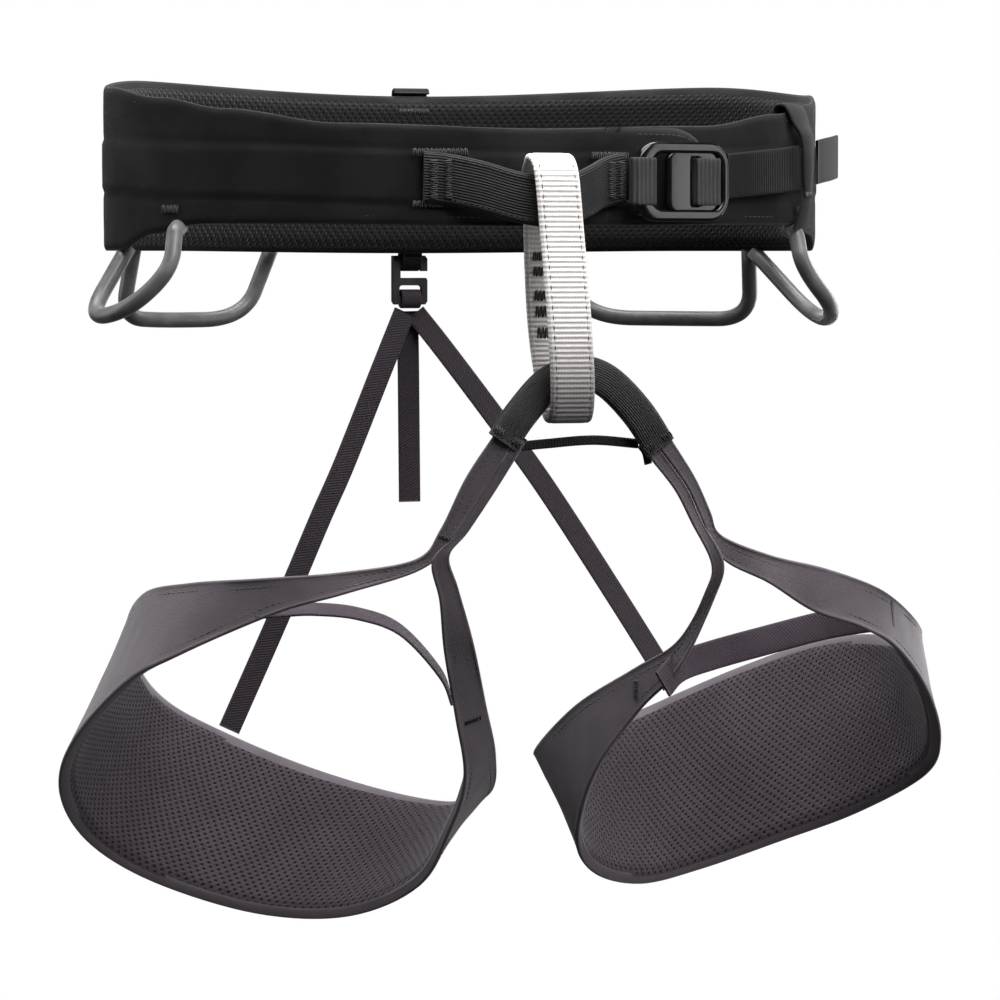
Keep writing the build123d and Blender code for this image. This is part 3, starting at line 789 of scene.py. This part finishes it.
# ---- upper tie-in loop -------------------------------------------------------------------
TIE_IN_PATH = [(-46, -3), (-36, -4), (-24, -7), (-8, -12), (8, -13), (20, -9), (30, -5), (39, -3)]
TIE_IN_STAND = [0.0, 0.0, 7.0, 13.5, 13.8, 9.0, 0.0, 0.0]
TIE_IN_HEIGHT = 21.0
TIE_IN_THICK = 3.4
tie_base = []
for (x, z), stand in zip(TIE_IN_PATH, TIE_IN_STAND):
    tie_base.append(belt_point(angle_at(x), z, 0.7 + 1.5 * (x > 25) + TIE_IN_THICK / 2) - vec((0, stand, 0)))
tie_mid = smooth(tie_base, 8)
rise = vec((0, 0, TIE_IN_HEIGHT / 2))
tie_in = even_ribbon(tie_mid, rise)
tie_piece = strap("tie_in_loop", tie_in, 2.6, TIE_IN_WEBBING, columns=20, crown=0.5)
place(tie_piece, ROOT, "black_webbing", "upper_tie_in_loop")
tie_thread = Thread()
for v in (0.1, 0.9):
    tie_thread.row(lambda s, v=v: tie_in.point(s, v, 1.62 * MM), 0.012, tie_in.length - 0.012, 2.4, 0.62, 0.24)
for x, z, wide, high in ((-39, 7, 22, 3.2), (-42, -4, 3.2, 15), (-36, -4, 3.2, 15), (-40, -14, 20, 2.8),
                         (33, 6, 16, 3.0), (32.5, -4, 3.0, 14), (37, -4, 2.6, 14), (34, -13.4, 15, 2.4)):
    angle = angle_at(x)
    outward = belt_normal(angle)
    along = outward.cross(-UP)
    spot = belt_point(angle, z, (4.2 if high > 10 else 1.0) + 1.5 * (x > 25))
    if wide > high:
        tie_thread.tack(spot, along, UP, wide, high)
    else:
        tie_thread.tack(spot, UP, -along, high, wide)
place(tie_thread.build("tie_in_stitching", THREAD_BLACK), ROOT, "black_webbing", "tie_in_bar_tacks")

# ---- belay loop --------------------------------------------------------------------------
BELAY_LOOP = [(-106, 5), (-114.6, -1), (-115.8, -25), (-116.5, -55), (-114.8, -84), (-110.5, -98),
              (-104.5, -102), (-98.5, -98), (-93.5, -84), (-90.5, -64), (-92.5, -38), (-97.2, -14), (-98.4, -2)]
belay_mid = []
for p in smooth([vec((0, y, z)) for y, z in BELAY_LOOP], 8, closed=True):
    share = (BELAY_LOOP[0][1] * MM - p.z) / ((BELAY_LOOP[0][1] - BELAY_LOOP[6][1]) * MM)
    belay_mid.append(p + vec((2 + 9 * share, 0, 0)))
half_belay = vec((9.5, 0, 0))
belay = even_ribbon(belay_mid, half_belay, closed=True)


def belay_relief(s, v):
    """Ribs across the webbing, and braided edges between two grooves."""
    edge = min(v, 1 - v)
    rib = 0.13 * math.sin(2 * math.pi * s / (2.05 * MM) + (math.pi if edge < 0.1 else 0))
    groove = -0.25 * math.exp(-((edge - 0.115) / 0.02) ** 2)
    return rib + groove


belay_piece = sweep_section("belay_loop", belay, strap_section(belay, 3.0, 30, relief=belay_relief),
                            int(belay.length / (0.5 * MM)), materials=(BELAY,))
place(belay_piece, "belay_loop", "belay_webbing", "belay_loop_webbing")
belay_thread = Thread()
for k in range(5):
    height = (-34 - 8.2 * k) * MM
    spot = min(belay_mid[56:], key=lambda p: abs(p.z - height))
    belay_thread.tack(spot + vec((0, 2.2, 0)), Vector((1, 0, 0)), UP, 11.5, 4.8, 0.8, 0.44, 0)
    belay_thread.tack(spot + vec((0, -1.55, 0)), Vector((1, 0, 0)), UP, 11.5, 4.8, 0.8, 0.44, 0)
place(belay_thread.build("belay_stitching", THREAD_BLACK), "belay_loop", "black_webbing", "belay_loop_bar_tacks")
belay_dashes = Thread()
for v in (0.12, 0.88):
    belay_dashes.row(lambda s, v=v: belay.point(s, v, 1.4 * MM), 0, belay.length, 4.1, 0.55, 0.2)
place(belay_dashes.build("belay_edge_stitching", THREAD_GREY), "belay_loop", "belay_webbing")

# ---- buckle ------------------------------------------------------------------------------
BUCKLE_ANGLE = 23.5
buckle_out = belt_normal(BUCKLE_ANGLE)
buckle_along = buckle_out.cross(-UP)
buckle_origin = belt_point(BUCKLE_ANGLE, -4.5, 8.2)


def at_buckle(x, y, z):
    """A point in the buckle's own frame, millimetres along, up and out."""
    return buckle_origin + buckle_along * (x * MM) + UP * (y * MM) + buckle_out * (z * MM)


def rounded_loop(x0, x1, y0, y1, radius, steps=8):
    """Points round a rectangle with round corners."""
    result = []
    for cx, cy, turn in ((x1 - radius, y1 - radius, 0), (x0 + radius, y1 - radius, 90),
                         (x0 + radius, y0 + radius, 180), (x1 - radius, y0 + radius, 270)):
        for k in range(steps + 1):
            angle = math.radians(turn + 90 * k / steps)
            result.append((cx + radius * math.cos(angle), cy + radius * math.sin(angle)))
    return result


def wrap(name, x0, x1, thick, skin, material):
    """Webbing folded round a bar of the buckle."""
    path = [at_buckle(x, 0, z) for x, z in rounded_loop(x0, x1, -thick / 2, thick / 2, thick / 2 - 0.1)]
    half = UP * (9.8 * MM)
    ribbon = even_ribbon(path, -half, closed=True)
    if ribbon.out[0].dot(buckle_along) < 0:
        ribbon = even_ribbon(path, half, closed=True)
    return strap(name, ribbon, skin, material, step=0.8, columns=16)


def buckle_ring(name, outer, inner, thick, power=0.7):
    """A bar bent round a window, with a pillowed section; loops are (x0, x1, y0, y1, radius)."""
    high = [at_buckle(x, y, 0) for x, y in rounded_loop(*outer)]
    low = [at_buckle(x, y, 0) for x, y in rounded_loop(*inner)]
    ribbon = Ribbon(high, low, closed=True)
    sign = 1 if ribbon.out[0].dot(buckle_out) > 0 else -1

    def section(s):
        ring = []
        for k in range(24):
            angle = 2 * math.pi * k / 24
            c = math.cos(angle)
            out = pillow(math.sin(angle), power) * thick * MM / 2
            v = 0.5 - 0.5 * pillow(c, power)
            ring.append((v, sign * out, v * ribbon.width(s), 0))
        return ring
    return sweep_section(name, ribbon, section, 180, materials=(METAL,))


buckle_frame = buckle_ring("buckle_frame_ring", (-23, 23, -16.5, 16.5, 10), (-15, 19.4, -11.6, 11.6, 5), 3.6)
place(buckle_frame, ROOT, "black_metal", "buckle_frame")
buckle_slider = buckle_ring("buckle_slider_plate", (-8, 17.4, -12, 12, 3.5),
                            (4.2, 7.6, -10.4, 10.4, 1.2), 3.0, 0.35)
place(buckle_slider, "buckle_slide_plate", "black_metal", "buckle_slider")
place(wrap("buckle_anchor", -24.5, -13.9, 5.6, 1.3, WRAP_STRAP), ROOT, "black_webbing", "buckle_anchor_webbing")
place(wrap("buckle_strap_fold", 6.6, 18.4, 4.8, 1.3, WRAP_STRAP), "buckle_slide_plate", "black_webbing",
      "buckle_strap_wrap")

# ---- waist strap, its keeper and its tail --------------------------------------------------
strap_angles = [34.5, 40, 46, 52, 57, 62]
strap_mid = [belt_point(a, -2 + 6 * k / 5, 2.65) for k, a in enumerate(strap_angles)]
strap_mid = smooth(strap_mid, 6)
half_strap = vec((0, 0, 9.5))
waist_strap = even_ribbon(strap_mid, half_strap)
place(strap("waist_strap_web", waist_strap, 1.4, BLACK_STRAP, columns=16), ROOT, "black_webbing", "waist_strap")

# Height, left and right edges in degrees, and distance from the belt's face.
KEEPER = [(25.5, 53.5, 61, -7.2), (28.6, 53, 61, -5.5), (28.8, 53, 61.2, -1.5), (26, 53, 61.2, 0.9),
          (21, 53.6, 61, 2.6), (16, 55.0, 60.9, 4.4), (8, 55.8, 60.8, 4.9), (0, 56.0, 60.7, 4.8), (-6, 56.6, 60.5, 4.4),
          (-9, 57.0, 60.3, 4.1), (-13, 56, 60.8, 3.9), (-19, 55.2, 61.2, 2.8), (-24, 54.8, 61.5, 1.2)]
keeper_left = smooth([belt_point(left, z, out) for z, left, _, out in KEEPER], 5)
keeper_right = smooth([belt_point(right, z, out) for z, _, right, out in KEEPER], 5)
keeper = Ribbon(keeper_right, keeper_left)
if keeper.out[30].dot(keeper_left[30]) < 0:
    keeper = Ribbon(keeper_left, keeper_right)
keeper_piece = strap("strap_keeper_band", keeper, 1.1, TAB_FABRIC, columns=12, crown=0.5)
place(keeper_piece, "keeper", "belt_fabric", "strap_keeper")
keeper_thread = Thread()
KEEPER_TACK = 58.2
keeper_thread.tack(belt_point(KEEPER_TACK, -9, 5.0), belt_normal(KEEPER_TACK).cross(-UP), UP, 6.4, 2.2, 0.8, 0.36)
place(keeper_thread.build("keeper_stitching", THREAD_BLACK), "keeper", "black_webbing", "keeper_bar_tack")

TAIL_END = [(64.5, 5, 3.2), (69, 6, 4.2), (75, 7, 6), (81, 8, 8.6)]
tail = even_ribbon(smooth([belt_point(a, z, out + 0.7) for a, z, out in TAIL_END], 6), half_strap)
tail_piece = strap("strap_tail_end", tail, 1.4, BLACK_STRAP, columns=16)
place(tail_piece, "strap_tail", "black_webbing", "waist_strap_tail")

# ---- haul tab ------------------------------------------------------------------------------
HAUL_X = 3.5
HAUL_PATH = [(1.5, 10), (1.6, 24), (1.9, 34), (1.2, 38.3), (-1.2, 38.9), (-2.2, 37.2)]
haul = strap_ribbon([(HAUL_X, WAIST_B + out, z) for out, z in HAUL_PATH], 16.5, Vector((1, 0, 0)))
place(strap("haul_tab_loop", haul, 1.3, BLACK_STRAP, columns=14), "haul_loop", "black_webbing", "haul_tab")
haul_thread = Thread()
haul_thread.tack(vec((HAUL_X, WAIST_B + 2.5, 18)), Vector((1, 0, 0)), UP, 12, 2.6, 0.85, 0.4, 0)
place(haul_thread.build("haul_tab_stitching", THREAD_BLACK), "haul_loop", "black_webbing", "haul_tab_tack")
inner_thread = Thread()
inner_thread.tack(vec((3.0, WAIST_B - BELT_THICK + 0.1, 29)), Vector((1, 0, 0)), UP, 13, 2.6, 0.85, 0.4, 0)
place(inner_thread.build("haul_inner_stitching", THREAD_BLACK), ROOT, "black_webbing")

# ---- gear loops ----------------------------------------------------------------------------
GEAR_LOOPS = {
    "front_right_side": [(-139.5, -46, -26), (-142.5, -52, -41), (-158.5, -43.5, -57.5), (-170, -18, -61.5),
                         (-154, -11.5, -37)],
    "rear_right_side": [(-132, 61, -37.5), (-135, 67, -62), (-112, 83, -63.5), (-72, 98, -63), (-62, 97, -37.5)],
    "front_left_side": [(133, -49.5, -26.5), (134, -54, -40.5), (156, -40, -60), (164.5, 5, -64),
                        (147.5, 28, -37.5)],
    "rear_left_side": [(145, 38, -37.5), (151.5, 53, -63.5), (126, 71, -63.5), (86, 93, -63), (76, 92, -37.5)],
}
TUBE_RADIUS = 3.4


def eased_path(points, rounds=4):
    """A smooth moulded curve inside a run of corner points, in metres."""
    path = [vec(p) for p in points]
    for _ in range(rounds):
        finer = [path[0]]
        for a, b in zip(path, path[1:]):
            finer.append(a.lerp(b, 0.25))
            finer.append(a.lerp(b, 0.75))
        finer.append(path[-1])
        path = finer
    return path


# A tube end above this height lies on the belt's face and turns into the belt, in short steps.
ON_BELT_Z = -30
TUCK_STEPS = 6
TUCK_STEP = 1.1
TUCK_TURN = 0.42
# Any other end runs straight on, up behind the belt's edge.
STRAIGHT_ON = 6.5
for name, points in GEAR_LOOPS.items():
    path = eased_path(points)
    first = (path[0] - path[1]).normalized()
    last = (path[-1] - path[-2]).normalized()
    x, y, z = points[0]
    if z > ON_BELT_Z:
        inward = Vector((-x / WAIST_A ** 2, -y / WAIST_B ** 2, 0)).normalized()
        for k in range(1, TUCK_STEPS + 1):
            path.insert(0, path[0] + (first + inward * (TUCK_TURN * k)).normalized() * (TUCK_STEP * MM))
    else:
        path.insert(0, path[0] + first * (STRAIGHT_ON * MM))
    path.append(path[-1] + last * (STRAIGHT_ON * MM))
    piece = tube(f"gear_tube_{name}", path, TUBE_RADIUS * MM, TUBE, sides=20)
    place(piece, f"gear_loop_{name}_body", "gear_tube", f"gear_loop_{name}", f"gear_loop_core_{name}")

# ---- rear hook, risers ---------------------------------------------------------------------
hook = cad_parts["riser_hook"]
hook.data.materials.clear()
hook.data.materials.append(HOOK)
HOOK_Y = WAIST_B + 5.0
anchor = strap_ribbon([(5.1, WAIST_B + 1.2, -16), (5.1, WAIST_B + 1.3, -28), (5.1, WAIST_B + 2.0, -37.5),
                       (5.1, HOOK_Y + 1.0, -41.4), (5.1, HOOK_Y + 5.6, -39.6), (5.1, HOOK_Y + 5.8, -34.6),
                       (5.1, HOOK_Y + 1.5, -32), (5.1, WAIST_B + 3.2, -26), (5.1, WAIST_B + 2.7, -16)],
                      8.6, Vector((1, 0, 0)))
place(strap("hook_anchor_loop", anchor, 1.1, BLACK_STRAP, columns=10), ROOT, "black_webbing", "riser_hook_anchor")
hook_wrap = strap_ribbon([(5.2, HOOK_Y + y, z) for y, z in ((-1.2, -52), (-1.2, -56.5), (1.8, -58.2), (4.8, -56.5),
                                                            (4.8, -52), (1.8, -50.6))],
                         9.2, Vector((1, 0, 0)), closed=True)
place(strap("hook_strap_fold", hook_wrap, 1.0, RISER, columns=10), ROOT, "elastic", "riser_webbing_wrap")

RISERS = {
    "right": [(2, 96.2, -60.2), (-9.5, 94, -86), (-28, 90.5, -128), (-40, 89, -153), (-59.5, 87.5, -196),
              (-82.5, 86.5, -245)],
    "left": [(8, 99.6, -60.8), (21.5, 96, -78.5), (45, 89.5, -111), (66, 83.5, -141.5), (94, 74.5, -187),
             (118.5, 64.5, -229)],
}
TAIL = [(5.2, 102.6, -60), (5.6, 102.6, -80), (5.9, 102.6, -112), (6.2, 102.6, -146)]
for side, points in RISERS.items():
    ribbon = strap_ribbon(points, 10.0, Vector((1, 0, 0)))
    piece = strap(f"{side}_riser", ribbon, 1.2, RISER, columns=12)
    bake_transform(piece)
    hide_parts(f"{side}_riser_upper", f"{side}_riser_lower")
riser_tail = strap_ribbon(TAIL, 10.2, Vector((1, 0, 0)))
place(strap("riser_tail_end", riser_tail, 1.2, RISER, columns=12), "hanging_tail", "elastic", "riser_tail")

# ---- lower tie-in ----------------------------------------------------------------------------
BRIDGE_Y = -104.0
BRIDGE_PATH = [(-17, -111), (-9, -99.5), (3, -87), (16, -82.8), (28, -86.5), (41, -99), (51.5, -114)]
bridge_mid = smooth([vec((x, BRIDGE_Y, z)) for x, z in BRIDGE_PATH], 8)
bridge_high = []
bridge_low = []
for i, p in enumerate(bridge_mid):
    up = heading(bridge_mid, i).cross(Vector((0, 1, 0))).normalized() * (7 * MM)
    bridge_high.append(p + up)
    bridge_low.append(p - up)
bridge = Ribbon(bridge_high, bridge_low)


def sleeve_section(s):
    """A padded sleeve: a flattened tube that is fuller in its middle."""
    share = s / bridge.length
    full = (2.0 + 1.3 * ease(0.0, 0.15, share) * (1 - ease(0.85, 1.0, share))) * MM
    ring = []
    for k in range(28):
        angle = 2 * math.pi * k / 28
        c = math.cos(angle)
        v = 0.5 - 0.5 * pillow(c, 0.75)
        out = full * pillow(math.sin(angle), 0.75)
        ring.append((v, out, v * 14 * MM if k < 14 else (2 - v) * 14 * MM, 0))
    return ring


sleeve = sweep_section("lower_tie_in_cover", bridge, sleeve_section, 90, materials=(SLEEVE_WEBBING,))
place(sleeve, ROOT, "black_webbing", "lower_tie_in_sleeve", "lower_tie_in_webbing")
sleeve_thread = Thread()
for s in (0.003, bridge.length - 0.003):
    low, high, normal = bridge.place(s)
    across = (high - low).normalized()
    along = across.cross(normal).normalized()
    side = 1 if normal.y < 0 else -1
    face = low.lerp(high, 0.5) + normal * (side * 2.6 * MM)
    for shift in (-4.6, 4.4):
        sleeve_thread.tack(face + across * (shift * MM), across, along, 3.6, 3.0, 0.8, 0.34)
place(sleeve_thread.build("sleeve_stitching", THREAD_BLACK), ROOT, "black_webbing")
link = strap_ribbon([(-8, -98.8, -113), (4, -98.8, -112), (24, -98.8, -110.8), (43.5, -98.8, -112.5)], 4.0, UP)
place(strap("lower_tie_in_cord", link, 1.4, BLACK_STRAP, columns=8), ROOT, "black_webbing", "lower_tie_in_link")
knot = strap_ribbon([(45, -98.2, -113.2), (47.5, -97, -116), (49, -96, -121)], 3.4, Vector((1, 0, 0)))
place(strap("link_tail", knot, 1.5, BLACK_STRAP, columns=8), ROOT, "black_webbing", "link_knot_tail")

# ---- leg loops -------------------------------------------------------------------------------
STRIPS = {
    "right": {
        "front": [((-21, -103, -109), (-15, -104, -115)), ((-31, -98, -126), (-24, -99, -131)),
                  ((-40, -92, -147), (-34, -94, -148)), ((-48, -90, -157), (-44, -91, -161))],
        "inner": [((-14.3, -104, -115.8), (-11, -105, -117)), ((-23, -99.5, -131.6), (-19, -100, -132)),
                  ((-32.6, -95.5, -148.6), (-28.5, -95, -148.2)), ((-42.4, -94, -158.6), (-36.6, -94.6, -157.4))],
    },
    "left": {
        "inner": [((47.4, -104, -118.8), (51.8, -104, -115.6)), ((59, -102, -132), (64.2, -101.5, -131)),
                  ((67, -101, -146), (71.2, -100.5, -145)), ((73, -101, -160), (77.4, -100.6, -161))],
        "front": [((52.4, -104, -115.2), (57.4, -104, -111.7)), ((64.8, -101, -130.5), (68.5, -101, -127)),
                  ((71.8, -100, -144), (75.5, -100, -141)), ((78, -100.4, -160), (80, -100, -150))],
    },
}
ELASTICS = {
    "right": [(-98, -58, -181), (-84, -57, -181), (-66, -60, -183), (-48, -62, -190), (-31, -62, -208)],
    "left": [(70, -77, -207.5), (89, -68, -203.5), (114.7, -63, -198.4), (136, -70, -192.5), (146, -84, -189)],
}
ELASTIC_ENDS = {"right": [(-112, -63, -181), (-25, -61, -221)], "left": [(60, -84, -214), (158, -98, -186)]}
ELASTIC_WIDTH = {"right": 9.5, "left": 12.5}
ELASTIC_ACROSS = {"right": (0.2, 1.0, 0.55), "left": (0, 0.25, 1)}
LEG_THICK = 5.3


# Bar tacks in the middle of a band: a point near each, its turn from the band's length in
# degrees, its length and its width.
LEG_TACKS = {
    "right": [((-11.5, -50, -223), 80, 7, 2.0), ((-43.9, -94, -149), 80, 4, 1.6)],
    "left": [((58, -60, -212.8), 80, 7, 2.0)],
}


def nearest(ribbon, point):
    """How far along a ribbon a point is, in metres, to the nearest millimetre."""
    found = []
    for k in range(int(ribbon.length / MM)):
        for j in range(1, 20):
            found.append(((ribbon.point(k * MM, j / 20) - point).length, k * MM))
    return min(found)[1]


def root_of(pairs):
    """One more pair of points before the first, so that a strip starts inside the sleeve."""
    first, second = pairs[0], pairs[1]
    return [tuple(tuple(p + (p - q) * 0.45 for p, q in zip(a, b)) for a, b in zip(first, second))]


def leg_loop(side, stations, first_padded, last_padded):
    """One leg loop: the padded band, its two strips and its elastic."""
    body = LEGS[side]
    flip = side == "right"
    front = list(STRIPS[side]["front"])
    inner = list(STRIPS[side]["inner"])
    if not flip:
        front = [(b, a) for a, b in front]
        inner = [(b, a) for a, b in inner]
    for k in range(len(front) - 1):
        seam = tuple((p + q) / 2 for p, q in zip(front[k][1], inner[k][0]))
        front[k] = (front[k][0], seam)
        inner[k] = (seam, inner[k][1])
    lead = root_of(front) + front[:-1]
    tail_end = [(b, a) for a, b in (root_of(inner) + inner[:-1])[::-1]]
    whole = lead + stations + tail_end
    order = whole[::-1] if flip else whole
    last = len(order) - 1
    first_padded += len(lead)
    last_padded += len(lead)
    start, end = (last - last_padded, last - first_padded) if flip else (first_padded, last_padded)
    ribbon = Ribbon(smooth([vec(u) for u, _ in order], 8), smooth([vec(v) for _, v in order], 8))
    marks = [ribbon.marks[8 * k] for k in range(last + 1)]
    pad_start, pad_end = marks[start], marks[end]

    def thick(s):
        inside = ease(pad_start - 0.012, pad_start + 0.012, s) * (1 - ease(pad_end - 0.012, pad_end + 0.012, s))
        return 2.2 + (LEG_THICK - 2.2) * inside

    def relief(s, height):
        spot = ribbon.point(s, 0.5)
        wave = noise.noise(Vector((spot.x * 45, spot.y * 45, spot.z * 45 + height * 0.04)))
        fine = noise.noise(Vector((spot.x * 150, spot.y * 150, height * 0.11 + 7)))
        return -0.35 + 0.45 * wave + 0.16 * fine

    def lined(s):
        return pad_start < s < pad_end

    rows = int(ribbon.length / (1.6 * MM))
    section = pad_section(ribbon, thick, 2.0, relief, lined, columns=30, rim=3.0, shoulder=(2.0, 6.0), lean=0.05)
    pad = sweep_section(f"{side}_leg_pad", ribbon, section, rows, materials=(LEG_FABRIC, LEG_EDGE, LEG_MESH))
    place(pad, body, "leg_fabric", f"{side}_leg_shell", f"{side}_leg_load_webbing", f"{side}_leg_foam",
          f"{side}_leg_mesh_lining", f"{side}_leg_upper_binding", f"{side}_leg_lower_binding",
          f"{side}_front_strip", f"{side}_inner_strip")
    thread = Thread()
    for low in (True, False):
        def track(s, low=low):
            width = ribbon.width(s)
            d = min(4.0 * MM, width * 0.3)
            return ribbon.point(s, d / width if low else 1 - d / width, -0.55 * MM)
        thread.row(track, 0.004, ribbon.length - 0.004, 2.8)
    place(thread.build(f"{side}_leg_stitching", THREAD_GREY), body, "leg_fabric")
    tacks = Thread()
    for spot, turn, length, width in LEG_TACKS[side]:
        s = nearest(ribbon, vec(spot))
        low, high, normal = ribbon.place(s)
        across = (high - low).normalized()
        along = across.cross(normal).normalized()
        lean = along * math.cos(math.radians(turn)) + across * math.sin(math.radians(turn))
        aside = normal.cross(lean).normalized()
        tacks.tack(ribbon.point(s, 0.5, -0.2 * MM), lean, aside, length, width, 0.8, 0.34)
    place(tacks.build(f"{side}_leg_tacks", THREAD_BLACK), body, "black_webbing")
    ends = ELASTIC_ENDS[side]
    path = [ends[0]] + ELASTICS[side] + [ends[1]]
    elastic = strap_ribbon(path, ELASTIC_WIDTH[side], Vector(ELASTIC_ACROSS[side]))
    place(strap(f"{side}_elastic", elastic, 1.2, ELASTIC, columns=12), body, "elastic", f"{side}_leg_elastic")


leg_loop("right", RIGHT_LEG, 3, 13)
leg_loop("left", LEFT_LEG, 4, 15)

# ---- stage, lights and camera ------------------------------------------------------------------
FLOOR_Z = -0.62


def glow(name, strength, colour):
    material = bpy.data.materials.new(name)
    material.use_nodes = True
    nodes = material.node_tree.nodes
    nodes.clear()
    emission = nodes.new("ShaderNodeEmission")
    emission.inputs["Color"].default_value = (*colour, 1)
    emission.inputs["Strength"].default_value = strength
    output = nodes.new("ShaderNodeOutputMaterial")
    material.node_tree.links.new(emission.outputs[0], output.inputs[0])
    return material


def only_seen(piece):
    """The backdrop shows in the picture but throws no light on the object."""
    piece.visible_diffuse = False
    piece.visible_glossy = False
    piece.visible_transmission = False
    piece.visible_shadow = False


SIDES = 64
ring = [Vector((12 * math.cos(2 * math.pi * k / SIDES), 12 * math.sin(2 * math.pi * k / SIDES), FLOOR_Z))
        for k in range(SIDES)]
backdrop_verts = ring + [p + Vector((0, 0, 12)) for p in ring]
backdrop_faces = [(k, (k + 1) % SIDES, SIDES + (k + 1) % SIDES, SIDES + k) for k in range(SIDES)]
backdrop_faces.append(tuple(range(2 * SIDES - 1, SIDES - 1, -1)))
WHITE = (1, 1, 1)
floor_faces = [tuple(range(SIDES))]
only_seen(make_object("backdrop", backdrop_verts, backdrop_faces, materials=(glow("backdrop_white", 1.0, WHITE),)))
only_seen(make_object("floor", ring, floor_faces, materials=(glow("floor_white", 1.0, WHITE),), flat=True))

world = bpy.data.worlds.new("studio")
world.use_nodes = True
world.node_tree.nodes["Background"].inputs["Color"].default_value = (1, 1, 1, 1)
world.node_tree.nodes["Background"].inputs["Strength"].default_value = 0.07
bpy.context.scene.world = world
bpy.context.scene.view_settings.view_transform = "Standard"


def softbox(name, place_at, target, width, height, energy):
    light = bpy.data.lights.new(name, "AREA")
    light.shape = "RECTANGLE"
    light.size = width
    light.size_y = height
    light.energy = energy
    piece = bpy.data.objects.new(name, light)
    piece.location = place_at
    piece.rotation_euler = (Vector(target) - Vector(place_at)).to_track_quat("-Z", "Y").to_euler()
    bpy.context.scene.collection.objects.link(piece)


AIM = (0.0, 0.0, -0.12)
softbox("top_light", (0.0, -0.1, 1.5), AIM, 1.6, 1.2, 72)
softbox("key_light", (0.35, -1.5, 1.1), AIM, 1.1, 1.0, 34)
softbox("fill_light", (1.5, -1.0, 0.2), AIM, 0.8, 1.4, 12)
softbox("left_rim", (-1.5, 0.5, 0.2), AIM, 0.6, 1.6, 11)
softbox("right_rim", (1.5, 0.9, 0.1), AIM, 0.6, 1.6, 12)

AZIMUTH = math.radians(18)
ELEVATION = math.radians(3)
DISTANCE = 2.0
ahead = Vector((math.sin(AZIMUTH) * math.cos(ELEVATION), math.cos(AZIMUTH) * math.cos(ELEVATION),
                -math.sin(ELEVATION)))
target = vec((15 * math.cos(AZIMUTH), -15 * math.sin(AZIMUTH), -140))
camera_data = bpy.data.cameras.new("camera")
camera_data.lens = 167.4
camera_data.sensor_width = 36
camera_data.clip_end = 60
camera = bpy.data.objects.new("camera", camera_data)
camera.location = target - ahead * DISTANCE
camera.rotation_euler = ahead.to_track_quat("-Z", "Y").to_euler()
bpy.context.scene.collection.objects.link(camera)
bpy.context.scene.camera = camera
